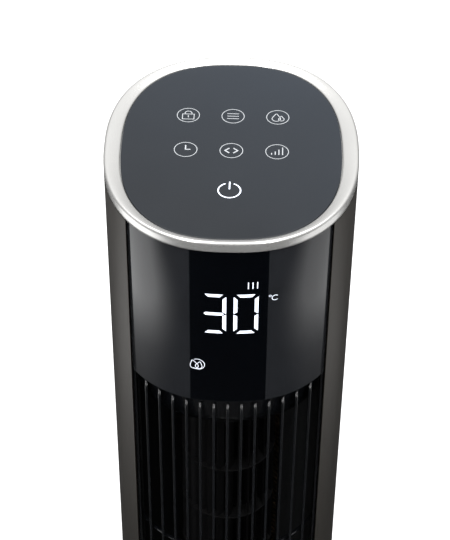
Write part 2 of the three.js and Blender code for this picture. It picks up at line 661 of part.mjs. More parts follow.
// ---------------------------------------------------------------- column shells
// Right-hand side shell, from the outlet round the side to the intake; mirror turns it into the left one.
function sideShell(mirror) {
  const n = SECTION_POWER;
  const wall = SHELL_WALL;
  const count = 16;
  const arc = (inset, frontX, rearX) => {
    const a = HALF_W - inset;
    const start = -Math.acos((frontX / a) ** (n / 2));
    const end = Math.acos((rearX / a) ** (n / 2));
    return Array.from({ length: count + 1 }, (_, i) =>
      onSection(a, HALF_D - inset, n, start + ((end - start) * i) / count),
    );
  };
  const outer = arc(0, FRONT_OPENING_HALF, REAR_OPENING_HALF);
  const inner = arc(wall, FRONT_OPENING_HALF + wall, REAR_OPENING_HALF).reverse();
  const returnY = outer[0].y + RETURN_DEPTH;
  const flange = [v2(FRONT_OPENING_HALF + wall, returnY), v2(FRONT_OPENING_HALF, returnY)];
  let outline = [...outer, ...inner, ...flange];
  if (mirror) outline = outline.map((p) => v2(-p.x, p.y)).reverse();
  return extrude(outline, COLUMN_BOTTOM, SHELL_TOP);
}

node("right_side_shell", sideShell(false), "shell");
node("left_side_shell", sideShell(true), "shell");
const frontPanel = (bottom, top) => curvedPanel(FRONT_HALF, -1, FRONT_INSET, FRONT_PANEL, bottom, top);
node("front_fascia", frontPanel(FASCIA_BOTTOM, SHELL_TOP), "gloss");
node("lower_front_panel", frontPanel(COLUMN_BOTTOM, LOWER_PANEL_TOP), "gloss");

// ---------------------------------------------------------------- decks inside the column
const bearingHole = circle(SHAFT_RADIUS + BEARING_WALL, 0, IMPELLER_Y, 16);
const hubHole = circle(HUB_RADIUS + 1);
const pinionHole = circle(PINION_SHAFT_RADIUS + SHAFT_HOLE_MARGIN, 0, -SWING_CENTRES, 12);
const socketHole = circle(SOCKET_RADIUS + GAP, PUMP_X, PUMP_Y, SOCKET_SIDES);
const hoseHole = circle(HOSE_RADIUS + 1, HOSE_X, HOSE_Y, 12);
node("column_floor", deck(COLUMN_BOTTOM, FLOOR_TOP, [hubHole, pinionHole]), "inner");
node("bay_deck", deck(BAY_DECK_BOTTOM, BAY_DECK_TOP, [socketHole]), "inner");
node("duct_floor", deck(DUCT_FLOOR_BOTTOM, DUCT_FLOOR_TOP, [bearingHole, hoseHole]), "inner");
node("duct_ceiling", deck(DUCT_CEILING_BOTTOM, DUCT_CEILING_TOP, [bearingHole]), "inner");

// ---------------------------------------------------------------- outlet grille
function frontGrille() {
  const bow = (half, inset, depth, bottom, height) =>
    curvedPanel(half, -1, inset, depth, bottom, bottom + height, 10);
  const rail = (bottom) => bow(FRONT_HALF, FIN_INSET, FIN_DEPTH, bottom, RAIL_HEIGHT);
  const pieces = [rail(GRILLE_BOTTOM), rail(GRILLE_TOP - RAIL_HEIGHT)];
  for (let i = 0; i < FIN_COUNT; i++) {
    const x = (i - (FIN_COUNT - 1) / 2) * FIN_PITCH;
    const y = -depthAt(x, FIN_INSET + 0.5);
    const x0 = x - FIN_THICKNESS / 2;
    pieces.push(box(x0, x0 + FIN_THICKNESS, y, y + FIN_DEPTH, GRILLE_BOTTOM + 1, GRILLE_TOP - 1));
  }
  for (const x0 of [-FRONT_HALF, FRONT_HALF - SIDE_BAR]) {
    const y = -depthAt(FRONT_HALF, FIN_INSET);
    pieces.push(box(x0, x0 + SIDE_BAR, y, y + FIN_DEPTH, GRILLE_BOTTOM, GRILLE_TOP));
  }
  for (let i = 1; i <= RIB_COUNT; i++) {
    const z = GRILLE_BOTTOM + ((GRILLE_TOP - GRILLE_BOTTOM) * i) / (RIB_COUNT + 1);
    pieces.push(bow(FRONT_HALF - 1, FIN_INSET + RIB_SINK, RIB_DEPTH, z, RIB_HEIGHT));
  }
  return joined(...pieces);
}

node("front_grille", frontGrille(), "grille");

// ---------------------------------------------------------------- cross-flow impeller and duct
// One forward-curved blade, bent in the middle, set in from the impeller's rim.
function bladeOutline(angle) {
  const rim = IMPELLER_RADIUS * 0.97;
  const half = (0.6 * BLADE_THICKNESS) / IMPELLER_RADIUS;
  const side = (sign) =>
    BLADE_BEND.map((turn, i) => {
      const radius = rim - (BLADE_WIDTH * i) / 2;
      const t = angle + turn + sign * half;
      return v2(radius * Math.cos(t), IMPELLER_Y + radius * Math.sin(t));
    });
  return [...side(-1), ...side(1).reverse()].reverse();
}

function impeller() {
  const pieces = [];
  for (let i = 0; i < BLADE_COUNT; i++) {
    const outline = bladeOutline((2 * Math.PI * i) / BLADE_COUNT);
    pieces.push(extrude(outline, IMPELLER_BOTTOM + 0.5, IMPELLER_TOP - 0.5));
  }
  const bore = SHAFT_RADIUS + GAP;
  for (let i = 0; i < DISC_COUNT; i++) {
    const z = IMPELLER_BOTTOM + ((IMPELLER_TOP - IMPELLER_BOTTOM - DISC_THICKNESS) * i) / (DISC_COUNT - 1);
    const end = i === 0 || i === DISC_COUNT - 1;
    const hole = end ? bore : IMPELLER_RADIUS - BLADE_WIDTH - 2;
    pieces.push(tube(IMPELLER_RADIUS, hole, z, z + DISC_THICKNESS, 0, IMPELLER_Y, 24));
  }
  const hub = (bottom, top) => tube(bore + IMPELLER_HUB_WALL, bore, bottom, top, 0, IMPELLER_Y, 16);
  pieces.push(hub(IMPELLER_BOTTOM, IMPELLER_BOTTOM + LOWER_HUB_HEIGHT));
  pieces.push(hub(IMPELLER_TOP - UPPER_HUB_HEIGHT, IMPELLER_TOP));
  return joined(...pieces);
}

function fanMotor() {
  const bore = SHAFT_RADIUS + GAP;
  const shield = MOTOR_RADIUS - MOTOR_STEP;
  return turned(
    [
      [bore, MOTOR_BOTTOM],
      [shield, MOTOR_BOTTOM],
      [shield, MOTOR_BOTTOM + MOTOR_SHIELD],
      [MOTOR_RADIUS, MOTOR_BOTTOM + MOTOR_SHIELD],
      [MOTOR_RADIUS, MOTOR_TOP - MOTOR_SHIELD],
      [shield, MOTOR_TOP - MOTOR_SHIELD],
      [shield, MOTOR_TOP],
      [bore, MOTOR_TOP],
    ],
    0,
    IMPELLER_Y,
    24,
  );
}

function motorBracket() {
  const bore = MOTOR_RADIUS - MOTOR_STEP + 2 * GAP;
  const bottom = BAY_DECK_TOP + GAP;
  const rim = MOTOR_BOTTOM + MOTOR_SHIELD - 1; // the motor's wider middle stands on this rim
  const footTop = BAY_DECK_TOP + BRACKET_FOOT;
  const foot = tube(MOTOR_RADIUS + BRACKET_FLANGE, bore, bottom, footTop, 0, IMPELLER_Y, 24);
  const collar = tube(MOTOR_RADIUS + BRACKET_WALL, bore, bottom, rim, 0, IMPELLER_Y, 24);
  return joined(foot, collar);
}

function scrollWall() {
  const start = (SCROLL_START * Math.PI) / 180;
  const end = (SCROLL_END * Math.PI) / 180;
  const steps = 12;
  const spiral = (extra) =>
    Array.from({ length: steps + 1 }, (_, i) => {
      const share = i / steps;
      const radius = IMPELLER_RADIUS + SCROLL_GAP + SCROLL_GROWTH * share + extra;
      const t = start + (end - start) * share;
      return v2(radius * Math.cos(t), IMPELLER_Y + radius * Math.sin(t));
    });
  const mouth = [v2(DUCT_WALL - DUCT_MOUTH_X, DUCT_MOUTH_Y), v2(-DUCT_MOUTH_X, DUCT_MOUTH_Y)];
  const outline = [...spiral(0), ...mouth, ...spiral(DUCT_WALL).reverse()];
  return extrude(outline, DUCT_FLOOR_TOP + GAP, DUCT_CEILING_BOTTOM - GAP);
}

function tongueWall() {
  const tip = v2(IMPELLER_RADIUS + SCROLL_GAP, IMPELLER_Y - 2);
  const outline = [
    tip,
    v2(tip.x + 1, tip.y - TONGUE_LENGTH),
    v2(DUCT_MOUTH_X - DUCT_WALL, DUCT_MOUTH_Y),
    v2(DUCT_MOUTH_X, DUCT_MOUTH_Y),
    v2(tip.x + TONGUE_LENGTH, tip.y - 2),
    v2(tip.x + 6, tip.y + 4),
  ];
  return extrude(outline, DUCT_FLOOR_TOP + GAP, DUCT_CEILING_BOTTOM - GAP);
}

node("impeller", impeller(), "inner");
node(
  "impeller_shaft",
  disc(SHAFT_RADIUS, MOTOR_BOTTOM + SHAFT_END, DUCT_CEILING_TOP + SHAFT_END, 0, IMPELLER_Y, 20),
  "steel",
);
node("fan_motor", fanMotor(), "zinc");
node("motor_bracket", motorBracket(), "inner");
node("scroll_wall", scrollWall(), "inner");
node("tongue_wall", tongueWall(), "inner");

function topBearing() {
  const outer = SHAFT_RADIUS + BEARING_WALL - 2 * GAP;
  return tube(outer, SHAFT_RADIUS + GAP, DUCT_CEILING_BOTTOM, DUCT_CEILING_TOP, 0, IMPELLER_Y, 16);
}

node("top_bearing", topBearing(), "nylon");

// ---------------------------------------------------------------- evaporative side
function dripTrough() {
  const bottom = PAD_TOP + GAP;
  const top = bottom + TROUGH_HEIGHT;
  const left = HOSE_X - HOSE_RADIUS;
  const w = TROUGH_WALL;
  const tray = box(left, PAD_HALF_WIDTH, PAD_FRONT_Y, PAD_REAR_Y, bottom, top);
  const right = PAD_HALF_WIDTH - w;
  const hollow = box(left + w, right, PAD_FRONT_Y + w, PAD_REAR_Y - w, bottom + w, top + CUT_PAST);
  return cut(tray, hollow);
}

// From the dock above the tank, across the bay deck, then up beside the pad to the trough.
function waterHose() {
  const path = new THREE.CatmullRomCurve3([
    new THREE.Vector3(PUMP_X, PUMP_Y, BAY_DECK_TOP + SPIGOT_HEIGHT + GAP),
    new THREE.Vector3(PUMP_X, PUMP_Y, BAY_DECK_TOP + 22),
    new THREE.Vector3(PUMP_X - 14, PUMP_Y + 20, BAY_DECK_TOP + 40),
    new THREE.Vector3(HOSE_X + 10, HOSE_Y - 10, BAY_DECK_TOP + 46),
    new THREE.Vector3(HOSE_X, HOSE_Y, DUCT_FLOOR_BOTTOM - 4),
    new THREE.Vector3(HOSE_X, HOSE_Y, DUCT_FLOOR_TOP + 10),
    new THREE.Vector3(HOSE_X, HOSE_Y, (DUCT_FLOOR_TOP + PAD_TOP) / 2),
    new THREE.Vector3(HOSE_X, HOSE_Y, PAD_TOP),
  ]);
  const section = new THREE.Shape(circle(HOSE_RADIUS, 0, 0, 8));
  return new THREE.ExtrudeGeometry(section, { steps: 34, bevelEnabled: false, extrudePath: path });
}

function dockSocket() {
  const collar = BAY_DECK_TOP + SOCKET_WALL;
  const bore = PIPE_RADIUS + SOCKET_CLEARANCE;
  const spigotTop = BAY_DECK_TOP + SPIGOT_HEIGHT;
  return turned(
    [
      [bore, SOCKET_BOTTOM],
      [SOCKET_RADIUS, SOCKET_BOTTOM],
      [SOCKET_RADIUS, BAY_DECK_TOP + GAP],
      [SOCKET_RADIUS + SOCKET_FLANGE, BAY_DECK_TOP + GAP],
      [SOCKET_RADIUS + SOCKET_FLANGE, collar],
      [HOSE_RADIUS + 1, collar],
      [HOSE_RADIUS + 1, spigotTop],
      [PIPE_BORE, spigotTop],
      [PIPE_BORE, BAY_DECK_TOP],
      [bore, BAY_DECK_TOP],
    ],
    PUMP_X,
    PUMP_Y,
    SOCKET_SIDES,
  );
}

node(
  "cooling_pad",
  box(-PAD_HALF_WIDTH, PAD_HALF_WIDTH, PAD_FRONT_Y, PAD_REAR_Y, DUCT_FLOOR_TOP + GAP, PAD_TOP),
  "pad",
);
node("drip_trough", dripTrough(), "white");
node("water_hose", waterHose(), "hose");
node("dock_socket", dockSocket(), "white");

// ---------------------------------------------------------------- pull-out tank and pump
// The shelf carries the tank over the swivel nut, on two skirts that stand on the column's floor.
function tankShelf() {
  const wall = SHELF_THICKNESS;
  const half = TANK_HALF_WIDTH + SHELF_OVERHANG;
  const front = TANK_FRONT_Y - TANK_STOP_GAP - wall;
  const plate = box(-half, half, front, DECK_REAR, SHELF_BOTTOM, SHELF_TOP);
  const stop = box(-half, half, front, front + wall, SHELF_BOTTOM, SHELF_TOP + SHELF_STOP_HEIGHT);
  const foot = FLOOR_TOP + GAP;
  const skirts = [-half, half - wall].map((x) => box(x, x + wall, front, DECK_REAR, foot, SHELF_TOP));
  return joined(plate, stop, ...skirts);
}

function waterTank() {
  const w = TANK_WALL;
  const half = TANK_HALF_WIDTH;
  const shell = box(-half, half, TANK_FRONT_Y, TANK_REAR_Y, TANK_BOTTOM, TANK_TOP);
  const inside = half - w;
  const past = TANK_TOP + CUT_PAST;
  const hollow = box(-inside, inside, TANK_FRONT_Y + w, TANK_REAR_Y - w, TANK_BOTTOM + w, past);
  const ribs = [-1, 1].map((side) => {
    const x = side * (half - RIB_FROM_SIDE);
    const end = depthAt(half - RIB_FROM_SIDE + RIB_THICKNESS / 2, 0) - REAR_PANEL - GAP;
    const x0 = x - RIB_THICKNESS / 2;
    return box(x0, x0 + RIB_THICKNESS, TANK_REAR_Y - w / 2, end, TANK_BOTTOM + RIB_FOOT, TANK_TOP - RIB_HEAD);
  });
  return joined(cut(shell, hollow), ...ribs);
}

// The lid leaves the filling mouth open and lets the pump's pipe through.
function tankLid() {
  const half = TANK_HALF_WIDTH;
  const lid = box(-half, half, TANK_FRONT_Y, TANK_REAR_Y, TANK_TOP + GAP, LID_TOP);
  const right = FILLER_LEFT + FILLER_SIDE;
  const mouth = box(FILLER_LEFT, right, FILLER_FRONT, FILLER_FRONT + FILLER_SIDE, TANK_TOP, LID_TOP + 1);
  return cut(lid, mouth, disc(PIPE_RADIUS + GAP, TANK_TOP, LID_TOP + 1, PUMP_X, PUMP_Y, 16));
}

function tankDoor() {
  const door = curvedPanel(REAR_HALF, 1, 0, REAR_PANEL, COLUMN_BOTTOM, DOOR_TOP);
  const rear = HALF_D + CUT_PAST;
  const grip = box(-DOOR_GRIP_HALF, DOOR_GRIP_HALF, 0, rear, GRIP_BOTTOM, GRIP_BOTTOM + DOOR_GRIP_HEIGHT);
  const half = WINDOW_HALF + GAP;
  const low = WINDOW_TOP - WINDOW_HEIGHT - GAP;
  const pane = box(WINDOW_X - half, WINDOW_X + half, 0, rear, low, WINDOW_TOP + GAP);
  return cut(door, grip, pane);
}

function waterWindow() {
  const steps = 3;
  const outer = Array.from({ length: steps + 1 }, (_, i) => {
    const x = WINDOW_X + WINDOW_HALF * ((2 * i) / steps - 1);
    return v2(x, depthAt(x, WINDOW_SINK));
  });
  const inner = outer.map((p) => v2(p.x, p.y - REAR_PANEL)).reverse();
  return extrude([...outer, ...inner], WINDOW_TOP - WINDOW_HEIGHT, WINDOW_TOP);
}

// A shallow pocket behind the door's opening, for the fingers.
function doorGrip() {
  const w = GRIP_WALL;
  const half = DOOR_GRIP_HALF + GRIP_LIP;
  const rear = depthAt(half, 0) - REAR_PANEL - GAP;
  const front = TANK_REAR_Y + w;
  const bottom = GRIP_BOTTOM - GRIP_LIP;
  const top = GRIP_BOTTOM + DOOR_GRIP_HEIGHT + GRIP_LIP;
  const pocket = box(-half, half, front, rear, bottom, top);
  return cut(pocket, box(-half + w, half - w, front + w, rear + CUT_PAST, bottom + w, top - w));
}

function pumpBody() {
  const inside = PUMP_RADIUS - PUMP_WALL;
  const bottom = STRAINER_TOP + GAP;
  return turned(
    [
      [inside, bottom],
      [PUMP_RADIUS, bottom],
      [PUMP_RADIUS, PUMP_TOP - PUMP_WALL],
      [inside, PUMP_TOP],
      [PIPE_BORE, PUMP_TOP],
      [PIPE_BORE, PUMP_TOP - PUMP_ROOF],
      [inside, PUMP_TOP - PUMP_ROOF - PUMP_WALL],
    ],
    PUMP_X,
    PUMP_Y,
    20,
  );
}

function pumpStrainer() {
  const plate = disc(PUMP_RADIUS, PUMP_BOTTOM, STRAINER_TOP, PUMP_X, PUMP_Y, 20);
  const reach = STRAINER_SLOT_LENGTH / 2;
  const slots = Array.from({ length: STRAINER_SLOTS }, (_, i) => {
    const x = PUMP_X + (i - (STRAINER_SLOTS - 1) / 2) * STRAINER_PITCH - STRAINER_SLOT / 2;
    return box(x, x + STRAINER_SLOT, PUMP_Y - reach, PUMP_Y + reach, 0, STRAINER_TOP + CUT_PAST);
  });
  return cut(plate, ...slots);
}

function pumpRotor() {
  const bottom = STRAINER_TOP + ROTOR_CLEARANCE;
  const length = 2 * (PUMP_RADIUS - PUMP_WALL - ROTOR_CLEARANCE);
  const hub = disc(ROTOR_HUB_RADIUS, bottom, bottom + ROTOR_HUB_HEIGHT, PUMP_X, PUMP_Y, 16);
  const vanes = Array.from({ length: ROTOR_VANES }, (_, i) => {
    const vane = new THREE.BoxGeometry(length, VANE_THICKNESS, VANE_HEIGHT);
    vane.rotateZ((i * Math.PI) / ROTOR_VANES);
    return vane.translate(PUMP_X, PUMP_Y, bottom + 1 + VANE_HEIGHT / 2);
  });
  return joined(hub, ...vanes);
}

node("tank_shelf", tankShelf(), "inner");
node("water_tank", waterTank(), "tank");
node("tank_lid", tankLid(), "inner");
node("tank_door", tankDoor(), "shell");
node("door_grip", doorGrip(), "inner");
node("water_window", waterWindow(), "tank");
node("pump_body", pumpBody(), "inner");
node("pump_strainer", pumpStrainer(), "inner");
node("pump_rotor", pumpRotor(), "white");
node(
  "pump_pipe",
  tube(PIPE_RADIUS, PIPE_BORE, PUMP_TOP + GAP, SOCKET_BOTTOM - GAP, PUMP_X, PUMP_Y, 16),
  "hose",
);

// ---------------------------------------------------------------- rear intake, filter and handle
function rearGrille() {
  const panel = curvedPanel(REAR_HALF, 1, 0, REAR_PANEL, REAR_GRILLE_BOTTOM, REAR_GRILLE_TOP);
  const field = REAR_GRILLE_TOP - REAR_GRILLE_BOTTOM - 2 * SLOT_BRIDGE;
  const slotHeight = (field - (SLOT_ROWS - 1) * SLOT_BRIDGE) / SLOT_ROWS;
  const slots = [];
  for (let row = 0; row < SLOT_ROWS; row++) {
    const z = REAR_GRILLE_BOTTOM + SLOT_BRIDGE + row * (slotHeight + SLOT_BRIDGE);
    for (let column = 0; column < SLOT_COLUMNS; column++) {
      const x = (column - (SLOT_COLUMNS - 1) / 2) * SLOT_PITCH;
      slots.push(box(x - SLOT_WIDTH / 2, x + SLOT_WIDTH / 2, 0, HALF_D + CUT_PAST, z, z + slotHeight));
    }
  }
  return cut(panel, ...slots);
}

function dustFilter() {
  const border = FILTER_BORDER;
  const bottom = REAR_GRILLE_BOTTOM + border;
  const top = REAR_GRILLE_TOP - border;
  const half = REAR_HALF - FILTER_INSET;
  const frame = box(-half, half, FILTER_Y, FILTER_Y + FILTER_THICKNESS, bottom, top);
  // The mesh is the thin web left behind a shallow window for each row of slots.
  const windows = Array.from({ length: SLOT_ROWS }, (_, i) => {
    const height = (top - bottom - (SLOT_ROWS + 1) * border) / SLOT_ROWS;
    const z = bottom + border + i * (height + border);
    const web = FILTER_Y + FILTER_THICKNESS - FILTER_WEB;
    return box(-half + border, half - border, FILTER_Y - CUT_PAST, web, z, z + height);
  });
  return cut(frame, ...windows);
}

function rearCap() {
  const panel = curvedPanel(REAR_HALF, 1, 0, REAR_PANEL, CAP_BOTTOM, SHELL_TOP);
  const half = HANDLE_HALF_WIDTH + GAP;
  const top = HANDLE_BOTTOM + HANDLE_HEIGHT + GAP;
  return cut(panel, box(-half, half, 0, HALF_D + CUT_PAST, HANDLE_BOTTOM - GAP, top));
}

function handleCup() {
  const w = HANDLE_WALL;
  const half = HANDLE_HALF_WIDTH;
  const rear = depthAt(half, HANDLE_SINK);
  const front = rear - HANDLE_DEPTH;
  const top = HANDLE_BOTTOM + HANDLE_HEIGHT;
  const cup = box(-half, half, front, rear, HANDLE_BOTTOM, top);
  const hollow = box(-half + w, half - w, front + w, rear + CUT_PAST, HANDLE_BOTTOM + w, top - w);
  return cut(cup, hollow);
}

node("rear_grille", rearGrille(), "shell");
node("dust_filter", dustFilter(), "inner");
node("rear_cap", rearCap(), "shell");
node("handle_cup", handleCup(), "inner");

// ---------------------------------------------------------------- head: boards, touch panel and ring
// A closed ring swept through a list of superellipse levels [a, b, power, z].
function loftedRing(levels) {
  const rings = levels.map(([a, b, n, z]) => sectionOutline(a, b, n).map((p) => [p.x, p.y, z]));
  const positions = [];
  rings.forEach((ring, k) => {
    const next = rings[(k + 1) % rings.length];
    ring.forEach((p, i) => {
      const j = (i + 1) % ring.length;
      positions.push(...p, ...ring[j], ...next[j], ...p, ...next[j], ...next[i]);
    });
  });
  const geometry = new THREE.BufferGeometry();
  geometry.setAttribute("position", new THREE.BufferAttribute(new Float32Array(positions), 3));
  return geometry;
}

function topRing() {
  const n = SECTION_POWER;
  const lip = RING_LIP;
  const ledge = PANEL_BOTTOM - GAP;
  return loftedRing([
    [HALF_W, HALF_D, n, RING_BOTTOM],
    [HALF_W, HALF_D, n, TOTAL_HEIGHT - lip],
    [HALF_W - 0.3 * lip, HALF_D - 0.3 * lip, n, TOTAL_HEIGHT - 0.3 * lip],
    [HALF_W - lip, HALF_D - lip, n, TOTAL_HEIGHT],
    [PANEL_A, PANEL_B, PANEL_POWER, PANEL_TOP],
    [PANEL_A, PANEL_B, PANEL_POWER, ledge],
    [PANEL_A - RING_LEDGE, PANEL_B - RING_LEDGE, PANEL_POWER, ledge],
    [PANEL_A - RING_LEDGE, PANEL_B - RING_LEDGE, PANEL_POWER, RING_BOTTOM],
  ]);
}

// Tray under the touch board: a plate that the shells hold, a skirt below it and a raised table on it.
function headFrame() {
  const top = SHELL_TOP - GAP;
  const low = top - TRAY_HEIGHT;
  const plate = extrude(deckOutline(), low, top);
  const hollow = extrude(deckOutline(INNER_INSET + TRAY_SKIRT), low - CUT_PAST, top - TRAY_THICKNESS);
  const outline = sectionOutline(PANEL_A - TABLE_SIDE, PANEL_B - TABLE_FRONT, PANEL_POWER, 28);
  const table = extrude(outline, top - 1, BOARD_BOTTOM - GAP);
  const wireHole = disc(WIRE_HOLE_RADIUS, low - CUT_PAST, BOARD_BOTTOM, 0, WIRE_HOLE_Y, 16);
  return cut(joined(cut(plate, hollow), table), wireHole);
}

// Walled cells behind the fascia, one for each digit.
function lightBox() {
  const half = DISPLAY_HALF_WIDTH;
  const body = box(-half, half, DISPLAY_FACE_Y, LIGHT_BOX_REAR, DISPLAY_BOTTOM + LIGHT_BOX_FOOT, DISPLAY_TOP);
  const top = DISPLAY_TOP - CELL_TOP;
  const front = DISPLAY_FACE_Y - CUT_PAST;
  const back = LIGHT_BOX_REAR - LIGHT_BOX_BACK;
  return cut(body, ...CELLS.map(([left, right]) => box(left, right, front, back, top - CELL_HEIGHT, top)));
}

function displayBoard() {
  const half = DISPLAY_HALF_WIDTH + DISPLAY_BOARD_SIDE;
  const front = LIGHT_BOX_REAR + GAP;
  return box(-half, half, front, front + BOARD_THICKNESS, DISPLAY_BOTTOM, DISPLAY_TOP + DISPLAY_BOARD_HEAD);
}

// Stands on the duct's ceiling, in the hollow behind the fascia.
function controlBoard() {
  const half = CONTROL_BOARD_HALF_WIDTH;
  const top = DUCT_CEILING_TOP + CONTROL_BOARD_HEIGHT;
  return box(-half, half, CONTROL_BOARD_Y, CONTROL_BOARD_Y + BOARD_THICKNESS, DUCT_CEILING_TOP + GAP, top);
}

const panelOutline = sectionOutline(PANEL_A - GAP, PANEL_B - GAP, PANEL_POWER);
const boardOutline = sectionOutline(PANEL_A - TOUCH_BOARD_SIDE, PANEL_B - TOUCH_BOARD_FRONT, PANEL_POWER, 32);
node("top_ring", topRing(), "trim");
node("top_panel", extrude(panelOutline, PANEL_BOTTOM, PANEL_TOP), "touch");
node("touch_board", extrude(boardOutline, BOARD_BOTTOM, BOARD_BOTTOM + BOARD_THICKNESS), "board");
node("head_frame", headFrame(), "inner");
node("display_light_box", lightBox(), "white");
node("display_board", displayBoard(), "board");
node("control_board", controlBoard(), "board");

export default fan;
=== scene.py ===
"""Looks of an evaporative tower fan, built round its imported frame: every outer shell, grille, sign and
display segment is modelled here in metres, and the inner nodes of the frame are kept and given finishes."""

import json
import math

import bmesh
import bpy
from bpy.props import FloatProperty, FloatVectorProperty, IntProperty, PointerProperty
from mathutils import Matrix, Vector


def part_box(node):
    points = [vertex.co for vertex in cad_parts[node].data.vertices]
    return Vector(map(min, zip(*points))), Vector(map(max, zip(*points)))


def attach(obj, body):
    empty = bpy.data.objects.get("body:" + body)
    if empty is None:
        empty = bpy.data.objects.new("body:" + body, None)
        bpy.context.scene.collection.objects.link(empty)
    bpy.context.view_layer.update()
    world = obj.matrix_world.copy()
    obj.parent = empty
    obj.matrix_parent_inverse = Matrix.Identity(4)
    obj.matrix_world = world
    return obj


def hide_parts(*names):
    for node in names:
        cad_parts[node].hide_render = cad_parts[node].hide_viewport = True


bl_info = {
    "name": "Tower Fan Maker",
    "version": (1, 0, 0),
    "blender": (4, 5, 0),
    "location": "View3D > Sidebar > Tower Fan",
    "description": "Builds the shells, grilles, signs and finishes of an evaporative tower fan",
    "category": "Object",
}

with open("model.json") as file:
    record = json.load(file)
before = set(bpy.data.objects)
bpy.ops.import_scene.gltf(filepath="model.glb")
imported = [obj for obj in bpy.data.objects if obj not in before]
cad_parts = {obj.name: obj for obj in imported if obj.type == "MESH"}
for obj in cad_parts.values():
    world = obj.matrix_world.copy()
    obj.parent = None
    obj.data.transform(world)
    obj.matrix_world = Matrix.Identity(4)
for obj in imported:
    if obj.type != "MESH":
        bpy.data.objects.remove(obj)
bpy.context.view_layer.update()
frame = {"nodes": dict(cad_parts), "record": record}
MM = 0.001

# ------------------------------------------------------------------ places read from the frame
RING_LOW, RING_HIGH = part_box("top_ring")
PANEL_LOW, PANEL_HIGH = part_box("top_panel")
FASCIA_LOW, FASCIA_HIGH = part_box("front_fascia")
LOWER_LOW, LOWER_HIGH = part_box("lower_front_panel")
GRILLE_LOW, GRILLE_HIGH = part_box("front_grille")
SHELL_LOW, SHELL_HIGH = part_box("right_side_shell")
BASE_LOW, BASE_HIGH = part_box("base_cover")
TABLE_LOW, TABLE_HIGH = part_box("turntable")
DOOR_LOW, DOOR_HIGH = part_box("tank_door")
INTAKE_LOW, INTAKE_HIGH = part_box("rear_grille")
CAP_LOW, CAP_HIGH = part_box("rear_cap")
CUP_LOW, CUP_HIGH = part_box("handle_cup")
POCKET_LOW, POCKET_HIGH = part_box("door_grip")
PANE_LOW, PANE_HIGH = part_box("water_window")
IMPELLER_LOW, IMPELLER_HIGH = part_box("impeller")
FILTER_LOW, FILTER_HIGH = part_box("dust_filter")
GLAND_LOW, GLAND_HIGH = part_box("cord_gland")
HALF_WIDTH = RING_HIGH.x
HALF_DEPTH = RING_HIGH.y
FRONT_HALF = FASCIA_HIGH.x
REAR_HALF = INTAKE_HIGH.x
FASCIA_INSET = HALF_DEPTH + FASCIA_LOW.y
GRILLE_INSET = HALF_DEPTH + GRILLE_LOW.y


# ------------------------------------------------------------------ curves of the column's section
def on_section(half_x, half_y, power, turn):
    """Point of the superellipse with the given half axes at parameter turn, in radians."""
    c, s = math.cos(turn), math.sin(turn)
    x = half_x * math.copysign(abs(c) ** (2 / power), c)
    y = half_y * math.copysign(abs(s) ** (2 / power), s)
    return x, y


def section(half_x, half_y, power, count):
    """Closed outline of the superellipse, anticlockwise from +X."""
    return [on_section(half_x, half_y, power, 2 * math.pi * i / count) for i in range(count)]


def depth_at(x, inset=0.0):
    """Distance from the X axis to the column's outline, moved in by inset."""
    power = column().power
    share = abs(x / (HALF_WIDTH - inset)) ** power
    return (HALF_DEPTH - inset) * (1 - share) ** (1 / power)


def face_curve(x_from, x_to, side, inset, count):
    """Points along the column's outline, in front (side -1) or behind (side 1)."""
    steps = [x_from + (x_to - x_from) * i / count for i in range(count + 1)]
    return [(x, side * depth_at(x, inset)) for x in steps]


def column():
    """The settings of the column's shells."""
    return bpy.context.scene.tower_fan_column


def head():
    """The settings of the touch panel, ring and display."""
    return bpy.context.scene.tower_fan_head


def outlet():
    """The settings of the outlet grille and the impeller."""
    return bpy.context.scene.tower_fan_outlet


def rear():
    """The settings of the intake side."""
    return bpy.context.scene.tower_fan_rear


def studio():
    """The settings of the floor, lamps and camera."""
    return bpy.context.scene.tower_fan_studio


# ------------------------------------------------------------------ making meshes
def add_object(name, data):
    """Links a new object that shows the mesh, lamp or camera data."""
    obj = bpy.data.objects.new(name, data)
    bpy.context.scene.collection.objects.link(obj)
    return obj


def make_object(name, verts, faces):
    """New object from plain lists, with its faces turned outwards."""
    mesh = bpy.data.meshes.new(name)
    mesh.from_pydata([tuple(v) for v in verts], [], faces)
    tool = bmesh.new()
    tool.from_mesh(mesh)
    bmesh.ops.recalc_face_normals(tool, faces=tool.faces)
    tool.to_mesh(mesh)
    tool.free()
    return add_object(name, mesh)


def smooth(obj, degrees):
    """Smooth shading, with every edge sharper than the angle kept crisp."""
    obj.data.shade_smooth()
    obj.data.set_sharp_from_angle(angle=math.radians(degrees))
    return obj


def apply_modifiers(obj):
    """Replaces the mesh with what its modifiers make of it."""
    bpy.context.view_layer.update()
    shown = obj.evaluated_get(bpy.context.evaluated_depsgraph_get())
    mesh = bpy.data.meshes.new_from_object(shown)
    old = obj.data
    obj.modifiers.clear()
    obj.data = mesh
    bpy.data.meshes.remove(old)
    return obj


def round_edges(obj, width, segments=3, degrees=38.0):
    """Rounds every edge sharper than the angle, then shades the piece smooth."""
    bevel = obj.modifiers.new("round", "BEVEL")
    bevel.width = width
    bevel.segments = segments
    bevel.limit_method = "ANGLE"
    bevel.angle_limit = math.radians(degrees)
    bevel.use_clamp_overlap = True
    apply_modifiers(obj)
    return smooth(obj, degrees)


def carve(obj, cutter):
    """Cuts the cutter's solid out of obj and throws the cutter away."""
    tool = obj.modifiers.new("carve", "BOOLEAN")
    tool.operation = "DIFFERENCE"
    tool.solver = "EXACT"
    tool.use_self = True
    tool.object = cutter
    apply_modifiers(obj)
    bpy.data.objects.remove(cutter)
    return obj


